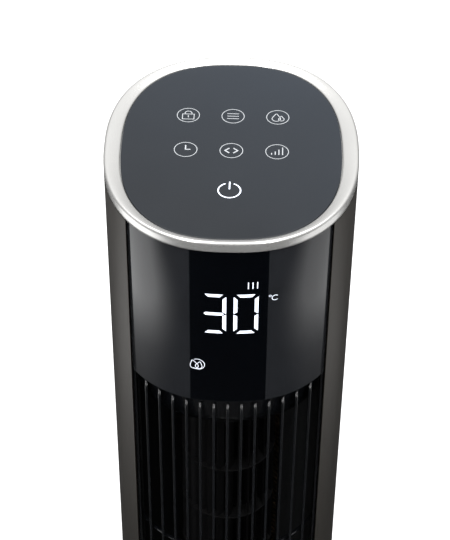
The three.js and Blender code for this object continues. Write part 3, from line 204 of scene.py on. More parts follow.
def join(name, objects):
    """Joins several objects into one mesh."""
    verts, faces = [], []
    for obj in objects:
        start = len(verts)
        verts += [v.co.copy() for v in obj.data.vertices]
        faces += [[start + i for i in p.vertices] for p in obj.data.polygons]
        bpy.data.objects.remove(obj)
    mesh = bpy.data.meshes.new(name)
    mesh.from_pydata(verts, [], faces)
    return add_object(name, mesh)


def prism(name, outline, low, high):
    """Upright solid over a flat outline."""
    count = len(outline)
    verts = [(x, y, low) for x, y in outline] + [(x, y, high) for x, y in outline]
    faces = [list(range(count)), list(range(2 * count - 1, count - 1, -1))]
    faces += [[i, (i + 1) % count, count + (i + 1) % count, count + i] for i in range(count)]
    return make_object(name, verts, faces)


def block(name, low, high):
    """Box between two corners."""
    outline = [(low[0], low[1]), (high[0], low[1]), (high[0], high[1]), (low[0], high[1])]
    return prism(name, outline, low[2], high[2])


def lofted(name, rings, closed=False):
    """Skin over a list of equal rings of points. Closed joins the last ring to the first; otherwise both
    ends are capped."""
    count = len(rings[0])
    verts = [p for ring in rings for p in ring]
    faces = []
    spans = len(rings) if closed else len(rings) - 1
    for k in range(spans):
        a, b = k * count, (k + 1) % len(rings) * count
        faces += [[a + i, a + (i + 1) % count, b + (i + 1) % count, b + i] for i in range(count)]
    if not closed:
        last = (len(rings) - 1) * count
        faces += [list(range(count)), [last + i for i in range(count)]]
    return make_object(name, verts, faces)


def turned(name, profile, middle=(0.0, 0.0), steps=96):
    """Solid of revolution about an upright axis: profile is a closed list of (radius, height)."""
    rings = []
    for i in range(steps):
        t = 2 * math.pi * i / steps
        rings.append([(middle[0] + r * math.cos(t), middle[1] + r * math.sin(t), z) for r, z in profile])
    return lofted(name, rings, closed=True)


def turned_plug(name, profile, middle=(0.0, 0.0), steps=64):
    """Solid of revolution whose profile starts and ends near the axis, capped there."""
    rings = []
    for r, z in profile:
        angles = [2 * math.pi * i / steps for i in range(steps)]
        rings.append([(middle[0] + r * math.cos(t), middle[1] + r * math.sin(t), z) for t in angles])
    return lofted(name, rings)


def wall_panel(name, half, side, inset, wall, low, high, count=56):
    """Curved wall that follows the column's outline, in front or behind."""
    outer = face_curve(-half, half, side, inset, count)
    inner = [(x, y - side * wall) for x, y in reversed(outer)]
    return prism(name, outer + inner, low, high)


def middle_of(low, high):
    """Middle of a box, seen from above."""
    return (low.x + high.x) / 2, (low.y + high.y) / 2


def quarter(count):
    """Sine and one less the cosine, at even steps of a quarter turn."""
    angles = [math.radians(90 * i / count) for i in range(count + 1)]
    return [(math.sin(t), 1 - math.cos(t)) for t in angles]


def arc_points(middle, radius, start, end, count):
    """Points on an arc between two angles in degrees."""
    angles = [math.radians(start + (end - start) * i / count) for i in range(count + 1)]
    return [(middle[0] + radius * math.cos(t), middle[1] + radius * math.sin(t)) for t in angles]


def circle_points(middle, radius, count):
    """Points round a full circle."""
    return arc_points(middle, radius, 0, 360 - 360 / count, count - 1)


# ------------------------------------------------------------------ signs: flat marks on a surface
def stroke(points, width, closed=False):
    """Outline quads of a line of even width: a list of four-cornered patches in the plane."""
    points = [Vector(p) for p in points]
    count = len(points)
    left, right = [], []
    for i, p in enumerate(points):
        before = points[i - 1] if (i > 0 or closed) else None
        after = points[(i + 1) % count] if (i < count - 1 or closed) else None
        along = Vector((0, 0))
        if before is not None:
            along += (p - before).normalized()
        if after is not None:
            along += (after - p).normalized()
        along.normalize()
        side = Vector((-along.y, along.x))
        reach = width / 2
        if before is not None and after is not None:
            reach /= max(0.45, side.dot(Vector((-(after - p).y, (after - p).x)).normalized()))
        left.append(p + side * reach)
        right.append(p - side * reach)
    spans = count if closed else count - 1
    return [[left[i], left[(i + 1) % count], right[(i + 1) % count], right[i]] for i in range(spans)]


def sign(name, patches, place, thickness, step=2 * MM):
    """Thin plates over flat patches. place(u, v, lift) puts a point of the plane on the surface; the plates
    are cut at every step across, so that they follow a curved one."""
    underside = 0.012 * MM
    tool = bmesh.new()
    for patch in patches:
        low = [tool.verts.new((u, v, underside)) for u, v in patch]
        high = [tool.verts.new((u, v, thickness)) for u, v in patch]
        tool.faces.new(low)
        tool.faces.new(high)
        for i in range(len(patch)):
            j = (i + 1) % len(patch)
            tool.faces.new((low[i], low[j], high[j], high[i]))
    widest = max(abs(v.co.x) for v in tool.verts)
    for i in range(-int(widest / step), int(widest / step) + 1):
        everything = tool.verts[:] + tool.edges[:] + tool.faces[:]
        bmesh.ops.bisect_plane(tool, geom=everything, plane_co=(i * step, 0, 0), plane_no=(1, 0, 0))
    for vert in tool.verts:
        vert.co = place(*vert.co)
    bmesh.ops.recalc_face_normals(tool, faces=tool.faces)
    mesh = bpy.data.meshes.new(name)
    tool.to_mesh(mesh)
    tool.free()
    return add_object(name, mesh)


def drop_outline(middle, size, lean=0.0, count=20):
    """Closed outline of a water drop with its tip up; lean turns it, in degrees."""
    points = arc_points((0, -0.28 * size), 0.42 * size, -205, 25, count)
    points += [(0.06 * size, 0.48 * size), (-0.06 * size, 0.48 * size)]
    t = math.radians(lean)
    c, s = math.cos(t), math.sin(t)
    return [(middle[0] + x * c - y * s, middle[1] + x * s + y * c) for x, y in points]


# ------------------------------------------------------------------ effects that several finishes share
SOCKET_KINDS = {"float": "NodeSocketFloat", "color": "NodeSocketColor"}


def new_group(name, inputs, outputs):
    """Empty shader group with float or colour sockets."""
    tree = bpy.data.node_groups.new(name, "ShaderNodeTree")
    for socket_name, kind, value in inputs:
        socket = tree.interface.new_socket(name=socket_name, in_out="INPUT", socket_type=SOCKET_KINDS[kind])
        socket.default_value = value
    for socket_name, kind in outputs:
        tree.interface.new_socket(name=socket_name, in_out="OUTPUT", socket_type=SOCKET_KINDS[kind])
    start = tree.nodes.new("NodeGroupInput")
    end = tree.nodes.new("NodeGroupOutput")
    return tree, start, end


def feed(tree, socket, value):
    """Links value to an input socket when it is a socket, and sets it as the input's own value otherwise."""
    if isinstance(value, bpy.types.NodeSocket):
        tree.links.new(value, socket)
    else:
        socket.default_value = value


def give(tree, node, **values):
    """Feeds inputs of a node by name, with underscores for spaces."""
    for key, value in values.items():
        feed(tree, node.inputs[key.replace("_", " ")], value)
    return node


def texture(tree, kind, vector, **values):
    """Texture node of that kind, fed by a vector socket."""
    return give(tree, tree.nodes.new("ShaderNodeTex" + kind), Vector=vector, **values)


def noise(tree, vector, scale, detail=3.0, roughness=0.55):
    """Strength of a noise texture; scale is a number or a socket."""
    return texture(tree, "Noise", vector, Scale=scale, Detail=detail, Roughness=roughness).outputs["Fac"]


def math_node(tree, operation, a, b=None, clamp=False):
    """Math node; a and b are numbers or sockets."""
    node = tree.nodes.new("ShaderNodeMath")
    node.operation = operation
    node.use_clamp = clamp
    feed(tree, node.inputs[0], a)
    if b is not None:
        feed(tree, node.inputs[1], b)
    return node.outputs[0]


def map_range(tree, value, from_low, from_high, to_low, to_high, smooth_step=False):
    """Map Range node; the limits are numbers or sockets."""
    node = tree.nodes.new("ShaderNodeMapRange")
    node.interpolation_type = "SMOOTHSTEP" if smooth_step else "LINEAR"
    give(tree, node, Value=value, From_Min=from_low, From_Max=from_high, To_Min=to_low, To_Max=to_high)
    return node.outputs["Result"]


def mix_color(tree, factor, a, b, blend="MIX"):
    """Colour mix; factor, a and b are values or sockets."""
    node = tree.nodes.new("ShaderNodeMix")
    node.data_type = "RGBA"
    node.blend_type = blend
    for place, value in ((0, factor), (6, a), (7, b)):
        feed(tree, node.inputs[place], value)
    return node.outputs[2]


def shaded(tree, color, shade):
    """Colour multiplied by a shade socket."""
    return mix_color(tree, 1.0, color, shade, "MULTIPLY")


def object_vector(tree):
    """Object coordinates: metres in the frame, and fixed to the piece."""
    return tree.nodes.new("ShaderNodeTexCoord").outputs["Object"]


def mapped_vector(tree, key, value):
    """Object coordinates after a Mapping node that has one of its inputs set."""
    node = tree.nodes.new("ShaderNodeMapping")
    node.inputs[key].default_value = value
    tree.links.new(object_vector(tree), node.inputs["Vector"])
    return node.outputs["Vector"]


def axes(tree, vector):
    """The outputs X, Y and Z of a vector socket."""
    node = tree.nodes.new("ShaderNodeSeparateXYZ")
    tree.links.new(vector, node.inputs[0])
    return node.outputs


def moulded_grain_group():
    """Spark-eroded grain of a mould: a height and a small change of shade."""
    outputs = [("Height", "float"), ("Shade", "float")]
    tree, start, end = new_group("Moulded grain", [("Size", "float", 1400.0)], outputs)
    vector = object_vector(tree)
    fine = noise(tree, vector, start.outputs["Size"], 4.0, 0.6)
    cells = texture(tree, "Voronoi", vector, Scale=start.outputs["Size"])
    height = math_node(tree, "ADD", fine, math_node(tree, "MULTIPLY", cells.outputs["Distance"], 0.45))
    shade = map_range(tree, noise(tree, vector, 9.0), 0.25, 0.75, 0.94, 1.05)
    give(tree, end, Height=height, Shade=shade)
    return tree


def handled_group():
    """Slight smears and uneven sheen that hands and cloths leave: a roughness."""
    inputs = [("Roughness", "float", 0.3), ("Amount", "float", 0.05), ("Size", "float", 14.0)]
    tree, start, end = new_group("Handled sheen", inputs, [("Roughness", "float")])
    vector = mapped_vector(tree, "Scale", (1.0, 1.0, 0.45))
    broad = noise(tree, vector, start.outputs["Size"], 4.0, 0.6)
    thin = noise(tree, vector, 160.0, 2.0)
    both = math_node(tree, "ADD", broad, math_node(tree, "MULTIPLY", thin, 0.35))
    swing = map_range(tree, both, 0.4, 0.95, -1.0, 1.0)
    swing = math_node(tree, "MULTIPLY", swing, start.outputs["Amount"])
    give(tree, end, Roughness=math_node(tree, "ADD", swing, start.outputs["Roughness"], clamp=True))
    return tree


def edge_wear_group():
    """Paler, rubbed edges: mixes the colour to the worn one where the surface is convex."""
    inputs = [
        ("Color", "color", (0.1, 0.1, 0.1, 1)),
        ("Worn Color", "color", (0.4, 0.4, 0.4, 1)),
        ("Amount", "float", 0.25),
    ]
    tree, start, end = new_group("Edge wear", inputs, [("Color", "color")])
    point = tree.nodes.new("ShaderNodeNewGeometry").outputs["Pointiness"]
    edge = map_range(tree, point, 0.51, 0.58, 0.0, 1.0, smooth_step=True)
    broken = map_range(tree, noise(tree, object_vector(tree), 420.0, 4.0), 0.42, 0.66, 0.0, 1.0)
    mask = math_node(tree, "MULTIPLY", math_node(tree, "MULTIPLY", edge, broken), start.outputs["Amount"])
    give(tree, end, Color=mix_color(tree, mask, start.outputs["Color"], start.outputs["Worn Color"]))
    return tree


def dust_group():
    """Thin dust on what faces up: mixes a pale colour over the finish, and gives its mask."""
    inputs = [("Color", "color", (0.1, 0.1, 0.1, 1)), ("Amount", "float", 0.1)]
    tree, start, end = new_group("Settled dust", inputs, [("Color", "color"), ("Mask", "float")])
    height = axes(tree, tree.nodes.new("ShaderNodeTexCoord").outputs["Normal"])["Z"]
    up = map_range(tree, height, 0.35, 0.95, 0.0, 1.0, smooth_step=True)
    flecks = map_range(tree, noise(tree, object_vector(tree), 900.0, 5.0, 0.7), 0.45, 0.75, 0.25, 1.0)
    mask = math_node(tree, "MULTIPLY", math_node(tree, "MULTIPLY", up, flecks), start.outputs["Amount"])
    dust_color = (0.55, 0.54, 0.52, 1)
    give(tree, end, Mask=mask, Color=mix_color(tree, mask, start.outputs["Color"], dust_color))
    return tree


def flake_group():
    """Metal flake in a lacquer: shade and a fine height."""
    inputs = [("Size", "float", 2600.0), ("Contrast", "float", 0.12)]
    tree, start, end = new_group("Metal flake", inputs, [("Shade", "float"), ("Height", "float")])
    cells = texture(tree, "Voronoi", object_vector(tree), Scale=start.outputs["Size"])
    grey = tree.nodes.new("ShaderNodeRGBToBW")
    tree.links.new(cells.outputs["Color"], grey.inputs[0])
    swing = math_node(tree, "SUBTRACT", grey.outputs[0], 0.5)
    swing = math_node(tree, "MULTIPLY", swing, start.outputs["Contrast"])
    give(tree, end, Shade=math_node(tree, "ADD", swing, 1.0), Height=cells.outputs["Distance"])
    return tree


EFFECT_MAKERS = {
    "Moulded grain": moulded_grain_group,
    "Handled sheen": handled_group,
    "Edge wear": edge_wear_group,
    "Settled dust": dust_group,
    "Metal flake": flake_group,
}


def effect(tree, name, **values):
    """Places a shared effect in a material, with its own values."""
    node = tree.nodes.new("ShaderNodeGroup")
    node.node_tree = bpy.data.node_groups.get(name) or EFFECT_MAKERS[name]()
    return give(tree, node, **values)


# ------------------------------------------------------------------ finishes
def rgba(color):
    """The colour with a full alpha."""
    return (*color[:3], 1.0)


def new_finish(name):
    """New material, its tree and its shader."""
    material = bpy.data.materials.new(name)
    material.use_nodes = True
    tree = material.node_tree
    return material, tree, tree.nodes["Principled BSDF"]


def bump(tree, shader, height, distance, strength=1.0):
    """Feeds a height to the shader's normal."""
    node = tree.nodes.new("ShaderNodeBump")
    give(tree, node, Strength=strength, Distance=distance, Height=height)
    tree.links.new(node.outputs["Normal"], shader.inputs["Normal"])


def grain_bump(tree, shader, size, depth):
    """Roughens the surface with the moulded grain."""
    bump(tree, shader, effect(tree, "Moulded grain", Size=size).outputs["Height"], depth)


def sheen(tree, shader, roughness, amount, size):
    """Feeds the shader a roughness that hands and cloths have made uneven."""
    handled = effect(tree, "Handled sheen", Roughness=roughness, Amount=amount, Size=size)
    give(tree, shader, Roughness=handled.outputs["Roughness"])


def plastic(name, color, roughness, grain, depth, wear, dust, smear, specular):
    """Moulded plastic with its grain, rubbed edges, smears and a little dust; depth is in millimetres."""
    material, tree, shader = new_finish(name)
    moulded = effect(tree, "Moulded grain", Size=grain)
    worn_color = rgba([min(1.0, c * 1.9 + 0.02) for c in color])
    plain = shaded(tree, rgba(color), moulded.outputs["Shade"])
    worn = effect(tree, "Edge wear", Color=plain, Worn_Color=worn_color, Amount=wear)
    dusted = effect(tree, "Settled dust", Color=worn.outputs["Color"], Amount=dust)
    handled = effect(tree, "Handled sheen", Roughness=roughness, Amount=smear)
    duller = math_node(tree, "MULTIPLY", dusted.outputs["Mask"], 0.4)
    total = math_node(tree, "ADD", handled.outputs["Roughness"], duller, clamp=True)
    give(tree, shader, Base_Color=dusted.outputs["Color"], Roughness=total, Specular_IOR_Level=specular)
    bump(tree, shader, moulded.outputs["Height"], depth * MM)
    return material


def lacquered_shell():
    """Bronze-grey satin lacquer with a fine flake."""
    material, tree, shader = new_finish("bronze_grey_lacquer")
    flake = effect(tree, "Metal flake", Size=2600.0, Contrast=0.35)
    plain = shaded(tree, rgba(column().shell_color), flake.outputs["Shade"])
    worn = effect(tree, "Edge wear", Color=plain, Worn_Color=(0.16, 0.15, 0.14, 1), Amount=0.08)
    give(tree, shader, Base_Color=worn.outputs["Color"], Metallic=0.3, Specular_IOR_Level=0.4)
    sheen(tree, shader, column().shell_roughness, 0.04, 7.0)
    grain_bump(tree, shader, 1900.0, 0.008 * MM)
    return material


def silver_trim():
    """Satin silver lacquer: fine flake over a metallic base."""
    material, tree, shader = new_finish("satin_silver_lacquer")
    flake = effect(tree, "Metal flake", Size=3200.0, Contrast=0.10)
    plain = shaded(tree, rgba(head().ring_color), flake.outputs["Shade"])
    worn = effect(tree, "Edge wear", Color=plain, Worn_Color=(0.86, 0.85, 0.83, 1), Amount=0.15)
    give(tree, shader, Base_Color=worn.outputs["Color"], Metallic=0.82)
    sheen(tree, shader, head().ring_roughness, 0.03, 22.0)
    bump(tree, shader, flake.outputs["Height"], 0.004 * MM)
    return material


def touch_panel_finish():
    """Dark grey printed panel with a satin hard coat, with painted light that makes it lighter toward its
    right rear end.
    """
    material, tree, shader = new_finish("dark_satin_panel")
    vector = object_vector(tree)
    cloud = map_range(tree, noise(tree, vector, 6.0, 2.0), 0.3, 0.7, 0.93, 1.07)
    place = axes(tree, vector)
    # Painted light: a gradient over the panel's colour that lightens it toward its right rear end.
    slant = math_node(tree, "ADD", math_node(tree, "MULTIPLY", place["X"], 0.6), place["Y"])
    painted_light_gradient = map_range(tree, slant, -0.12, 0.16, 0.72, 1.6)
    base = shaded(tree, rgba(head().panel_color), math_node(tree, "MULTIPLY", cloud, painted_light_gradient))
    dusted = effect(tree, "Settled dust", Color=base, Amount=0.012)
    give(tree, shader, Base_Color=dusted.outputs["Color"], Specular_IOR_Level=0.34)
    sheen(tree, shader, head().panel_roughness, 0.035, 24.0)
    grain_bump(tree, shader, 2400.0, 0.004 * MM)
    return material


def fascia_finish():
    """Gloss black acrylic: jet black in front of the display, smoke grey on its painted flanks."""
    material, tree, shader = new_finish("gloss_black_acrylic")
    vector = object_vector(tree)
    half = head().window_half
    fade = 0.4 * MM
    across = math_node(tree, "ABSOLUTE", axes(tree, vector)["X"])
    flank = map_range(tree, across, half - fade, half + fade, 0.0, 1.0)
    color = mix_color(tree, flank, rgba(head().window_color), rgba(head().flank_color))
    swirl = map_range(tree, noise(tree, vector, 38.0, 5.0), 0.3, 0.7, 0.9, 1.1)
    coat = math_node(tree, "MULTIPLY", flank, head().flank_coat)
    give(tree, shader, Base_Color=shaded(tree, color, swirl), Specular_IOR_Level=0.25)
    give(tree, shader, Coat_Weight=coat, Coat_Roughness=0.03)
    sheen(tree, shader, head().fascia_roughness, 0.03, 18.0)
    bump(tree, shader, noise(tree, vector, 22.0, 1.0), 0.02 * MM, 0.5)
    return material


def power_sign_finish():
    """Back-lit sign, dimmer than the display's segments."""
    return printed_sign("back_lit_power_sign", head().digit_color, POWER_SHARE * head().digit_glow)


def printed_sign(name, color, glow):
    """Pale sign with slightly uneven ink and a glow: real light for the back-lit signs and the lit segments,
    a painted glow for the printed signs.
    """
    material, tree, shader = new_finish(name)
    ink = map_range(tree, noise(tree, object_vector(tree), 700.0), 0.3, 0.7, 0.88, 1.0)
    printed = shaded(tree, rgba(color), ink)
    give(tree, shader, Base_Color=printed, Emission_Color=printed, Emission_Strength=glow, Roughness=0.5)
    return material


def metal(name, color, roughness, grain, depth):
    """Machined or plated steel with fine turned lines; depth is in millimetres."""
    material, tree, shader = new_finish(name)
    lines = noise(tree, mapped_vector(tree, "Scale", (0.2, 0.2, 3.0)), grain, 3.0, 0.6)
    plain = shaded(tree, rgba(color), map_range(tree, lines, 0.25, 0.75, 0.86, 1.1))
    worn = effect(tree, "Edge wear", Color=plain, Worn_Color=(0.75, 0.75, 0.76, 1), Amount=0.3)
    give(tree, shader, Base_Color=worn.outputs["Color"], Metallic=1.0)
    sheen(tree, shader, roughness, 0.08, 40.0)
    bump(tree, shader, lines, depth * MM)
    return material


def circuit_board():
    """Green solder mask with tracks and pale pads."""
    material, tree, shader = new_finish("green_circuit_board")
    vector = object_vector(tree)
    tracks = texture(tree, "Brick", vector, Scale=90.0, Mortar_Size=0.03)
    give(tree, tracks, Color1=(0.015, 0.10, 0.045, 1), Color2=(0.02, 0.13, 0.06, 1))
    give(tree, tracks, Mortar=(0.05, 0.22, 0.10, 1))
    spots = texture(tree, "Voronoi", vector, Scale=160.0)
    pads = map_range(tree, spots.outputs["Distance"], 0.16, 0.20, 1.0, 0.0)
    color = mix_color(tree, pads, tracks.outputs["Color"], (0.62, 0.60, 0.52, 1))
    give(tree, shader, Base_Color=color, Roughness=map_range(tree, pads, 0.0, 1.0, 0.42, 0.25))
    bump(tree, shader, pads, 0.05 * MM)
    return material


def cooling_paper():
    """Corrugated cellulose: slanting flutes, with a tan stain and painted shade in the flutes' grooves."""
    material, tree, shader = new_finish("corrugated_cellulose")
    slanted = mapped_vector(tree, "Rotation", (0.0, math.radians(40), 0.0))
    flutes = texture(tree, "Wave", slanted, Scale=60.0, Distortion=1.2).outputs["Fac"]
    fibre = noise(tree, object_vector(tree), 600.0, 5.0)
    # The colour darkens with the flutes' height: painted shade in the grooves, over the fibre's uneven
    # stain.
    stain_and_groove_shade = math_node(tree, "MULTIPLY", map_range(tree, flutes, 0, 1, 0.25, 1.0), fibre)
    color = mix_color(tree, stain_and_groove_shade, (0.03, 0.018, 0.009, 1), (0.36, 0.25, 0.14, 1))
    give(tree, shader, Base_Color=color, Roughness=0.9)
    bump(tree, shader, flutes, 1.5 * MM)
    return material


def clear_plastic(name, color, roughness):
    """Tinted see-through plastic with faint lime marks."""
    material, tree, shader = new_finish(name)
    marks = map_range(tree, noise(tree, object_vector(tree), 55.0, 5.0), 0.35, 0.7, 0.9, 1.0)
    give(tree, shader, Base_Color=shaded(tree, rgba(color), marks), Transmission_Weight=0.75, IOR=1.49)
    sheen(tree, shader, roughness, 0.06, 30.0)
    grain_bump(tree, shader, 700.0, 0.01 * MM)
    return material


def filter_mesh():
    """Woven filter gauze: threads in both directions."""
    material, tree, shader = new_finish("woven_filter_gauze")
    heights = []
    for axis in ("X", "Z"):
        wave = texture(tree, "Wave", object_vector(tree), Scale=260.0)
        wave.wave_type = "BANDS"
        wave.bands_direction = axis
        heights.append(wave.outputs["Fac"])
    threads = math_node(tree, "MAXIMUM", *heights)
    color = mix_color(tree, threads, (0.004, 0.004, 0.004, 1), (0.05, 0.05, 0.052, 1))
    dusted = effect(tree, "Settled dust", Color=color, Amount=0.2)
    give(tree, shader, Base_Color=dusted.outputs["Color"], Roughness=0.7)
    bump(tree, shader, threads, 0.3 * MM)
    return material


# Plastics: name, colour, roughness, grain size, grain depth in mm, edge wear, dust, smears, specular level.
PLASTICS = {
    "grille": ("semi_gloss_black", (0.003, 0.0035, 0.0045), 0.16, 1500, 0.002, 0.2, 0.0, 0.02, 1.0),
    "base": ("base_black", (0.012, 0.0125, 0.0135), 0.34, 1100, 0.02, 0.2, 0.03, 0.05, 0.5),
    # inner and fan: black plastic, made darker and less glossy than the moulding itself, as painted shade
    # for the interior behind the outlet.
    "inner": ("dark_moulding_and_recess_shade", (0.006, 0.0065, 0.007), 0.6, 1000, 0.04, 0.2, 0.02, 0.05, 0.12),
    "fan": ("impeller_black_and_recess_shade", (0.004, 0.004, 0.0045), 0.55, 1200, 0.02, 0.15, 0.02, 0.05, 0.12),
    "white": ("white_moulding", (0.72, 0.72, 0.70), 0.42, 1000, 0.03, 0.1, 0.02, 0.05, 0.5),
    "nylon": ("natural_nylon", (0.62, 0.59, 0.50), 0.48, 900, 0.03, 0.15, 0.03, 0.05, 0.5),
    "rubber": ("foot_rubber", (0.014, 0.014, 0.014), 0.82, 900, 0.05, 0.35, 0.12, 0.06, 0.35),
    "hose": ("milky_silicone", (0.55, 0.60, 0.60), 0.35, 600, 0.02, 0.0, 0.0, 0.05, 0.5),
}
# How brightly the power sign glows, as a share of the display's segments.
POWER_SHARE = 0.62
FINISH_MAKERS = {
    "shell": lacquered_shell,
    "gloss": fascia_finish,
    "trim": silver_trim,
    "touch": touch_panel_finish,
    "steel": lambda: metal("turned_steel", (0.42, 0.42, 0.43), 0.34, 900.0, 0.01),
    "zinc": lambda: metal("zinc_plate", (0.55, 0.56, 0.58), 0.42, 300.0, 0.02),
    "board": circuit_board,
    "pad": cooling_paper,
    "tank": lambda: clear_plastic("smoke_clear_plastic", (0.45, 0.52, 0.56), 0.12),
    "gauze": filter_mesh,
    # The printed signs get a faint painted glow.
    "sign": lambda: printed_sign("printed_sign", head().sign_color, head().painted_sign_glow),
    "power": power_sign_finish,
    "lit": lambda: printed_sign("lit_segment", head().digit_color, head().digit_glow),
}


def finish_of(name):
    """The finish of that name, made when first asked for."""
    key = "made_finish_" + name
    known = bpy.context.scene.get(key)
    if known:
        return bpy.data.materials[known]
    material = plastic(*PLASTICS[name]) if name in PLASTICS else FINISH_MAKERS[name]()
    bpy.context.scene[key] = material.name
    return material


def dress(obj, finish_name):
    """Gives the piece a single finish."""
    obj.data.materials.clear()
    obj.data.materials.append(finish_of(finish_name))
    return obj


def place_piece(obj, body, slot, finish_name=None, replaces=()):
    """Dresses a finished piece in its finish, or in its slot's finish when none is given, ties it to its
    body and hides the nodes it stands for.
    """
    dress(obj, finish_name or slot)
    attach(obj, body)
    if replaces:
        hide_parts(*replaces)
    return obj


# ------------------------------------------------------------------ settings
class TowerFanColumnSettings(bpy.types.PropertyGroup):
    """Section, seams and finish of the column's shells"""

    power: FloatProperty(
        name="Section power", description="Exponent of the superellipse section", default=2.36, min=2.0
    )
    edge: FloatProperty(
        name="Edge radius", description="Rounding of the shells' edges", default=0.7 * MM, unit="LENGTH"
    )
    wall: FloatProperty(
        name="Wall", description="Thickness of the side shells", default=2.6 * MM, unit="LENGTH"
    )
    flange: FloatProperty(
        name="Flange",
        description="How far the shells turn in beside the outlet",
        default=16 * MM,
        unit="LENGTH",
    )
    seam: FloatProperty(
        name="Seam", description="Gap between the shells and the front", default=0.8 * MM, unit="LENGTH"
    )
    shell_color: FloatVectorProperty(
        name="Shell colour",
        description="Bronze-grey lacquer",
        default=(0.030, 0.027, 0.023),
        subtype="COLOR",
    )
    shell_roughness: FloatProperty(
        name="Shell roughness", description="Dullness of the lacquer", default=0.38, subtype="FACTOR"
    )


class TowerFanHeadSettings(bpy.types.PropertyGroup):
    """Ring, touch panel, signs and display"""

    panel_power: FloatProperty(
        name="Panel power", description="Exponent of the touch panel's outline", default=2.5, min=2.0
    )
    crest: FloatProperty(
        name="Crest radius", description="Rounding of the ring's crest", default=2.2 * MM, unit="LENGTH"
    )
    ring_color: FloatVectorProperty(
        name="Ring colour", description="Silver lacquer", default=(0.72, 0.715, 0.70), subtype="COLOR"
    )
    ring_roughness: FloatProperty(
        name="Ring roughness", description="Dullness of the silver", default=0.24, subtype="FACTOR"
    )
    panel_color: FloatVectorProperty(
        name="Panel colour", description="Dark grey print", default=(0.0085, 0.0115, 0.016), subtype="COLOR"
    )
    panel_roughness: FloatProperty(
        name="Panel roughness",
        description="Dullness of the panel's hard coat",
        default=0.34,
        subtype="FACTOR",
    )
    fascia_roughness: FloatProperty(
        name="Fascia roughness", description="Dullness of the gloss acrylic", default=0.2, subtype="FACTOR"
    )
    flank_coat: FloatProperty(
        name="Flank coat", description="Clear coat on the painted flanks", default=0.55, subtype="FACTOR"
    )
    window_color: FloatVectorProperty(
        name="Window colour",
        description="Acrylic in front of the display",
        default=(0.0004, 0.0008, 0.0016),
        subtype="COLOR",
    )
    flank_color: FloatVectorProperty(
        name="Flank colour",
        description="Painted acrylic beside it",
        default=(0.010, 0.011, 0.013),
        subtype="COLOR",
    )
    window_half: FloatProperty(
        name="Window half width",
        description="From the middle to the window's edge",
        default=37.5 * MM,
        unit="LENGTH",
    )
    sign_color: FloatVectorProperty(
        name="Sign colour", description="Printed signs", default=(0.36, 0.375, 0.39), subtype="COLOR"
    )
    # Painted glow that lightens the printed signs, which are no lamp.
    painted_sign_glow: FloatProperty(name="Sign glow", description="Light of the printed signs", default=0.22)
    digit_color: FloatVectorProperty(
        name="Digit colour", description="Lit segments", default=(0.80, 0.85, 0.96), subtype="COLOR"
    )
    digit_glow: FloatProperty(name="Digit glow", description="Light of the display's segments", default=0.95)
    sign_radius: FloatProperty(
        name="Sign radius",
        description="Radius of the circles round the signs",
        default=11.15 * MM,
        unit="LENGTH",
    )
    sign_spacing: FloatProperty(
        name="Sign spacing",
        description="Distance between the columns of signs",
        default=44.8 * MM,
        unit="LENGTH",
    )
    rear_row: FloatProperty(
        name="Rear row", description="Place of the rear row of signs", default=50.1 * MM, unit="LENGTH"
    )
    front_row: FloatProperty(
        name="Front row", description="Place of the front row of signs", default=-5.1 * MM, unit="LENGTH"
    )
    print_turn: FloatProperty(
        name="Print turn",
        description="Turn of the printed signs against the ring",
        default=math.radians(-1.0),
        subtype="ANGLE",
    )
    power_row: FloatProperty(
        name="Power sign", description="Place of the power sign", default=-66.1 * MM, unit="LENGTH"
    )
    digit_height: FloatProperty(
        name="Digit height", description="Height of the display's digits", default=51 * MM, unit="LENGTH"
    )
    digit_drop: FloatProperty(
        name="Digit drop",
        description="From the ring's crest to the digits",
        default=66.5 * MM,
        unit="LENGTH",
    )


class TowerFanOutletSettings(bpy.types.PropertyGroup):
    """Fins of the outlet and blades behind them"""

    fins: IntProperty(name="Fins", description="Upright fins of the outlet", default=13, min=3)
    fin_width: FloatProperty(
        name="Fin width", description="Thickness of a fin", default=2.8 * MM, unit="LENGTH"
    )
    fin_depth: FloatProperty(
        name="Fin depth", description="Front to rear size of a fin", default=14 * MM, unit="LENGTH"
    )
    shoulder: FloatProperty(
        name="Fin shoulder",
        description="Rounding of a fin's upper front corner",
        default=10 * MM,
        unit="LENGTH",
    )
    hood: FloatProperty(
        name="Hood",
        description="Height of the wall behind the fins' upper ends",
        default=56 * MM,
        unit="LENGTH",
    )
    hood_curl: FloatProperty(
        name="Hood curl",
        description="How far the hood curls back towards its lower end",
        default=16 * MM,
        unit="LENGTH",
    )
    fin_drop: FloatProperty(
        name="Fin drop",
        description="From the top of the grille to a fin's upper end",
        default=11 * MM,
        unit="LENGTH",
    )
    hood_sink: FloatProperty(
        name="Hood sink", description="From the fins' noses to the hood", default=9 * MM, unit="LENGTH"
    )
    rail: FloatProperty(name="Rail", description="Height of the rails", default=7 * MM, unit="LENGTH")
    ribs: IntProperty(name="Ribs", description="Cross ribs behind the fins", default=1, min=0)
    blades: IntProperty(name="Blades", description="Blades of the impeller", default=28, min=8)
    discs: IntProperty(name="Discs", description="Discs that hold the blades", default=7, min=2)


class TowerFanRearSettings(bpy.types.PropertyGroup):
    """Intake slots, tank door and carry grip"""

    columns: IntProperty(name="Slot columns", description="Slots side by side", default=11, min=2)
    rows: IntProperty(name="Slot rows", description="Slots above each other", default=3, min=1)
    slot: FloatProperty(
        name="Slot width", description="Width of an intake slot", default=6.4 * MM, unit="LENGTH"
    )
    bridge: FloatProperty(
        name="Bridge", description="Wall between two rows of slots", default=14 * MM, unit="LENGTH"
    )
    wall: FloatProperty(
        name="Wall", description="Thickness of the rear panels", default=3 * MM, unit="LENGTH"
    )


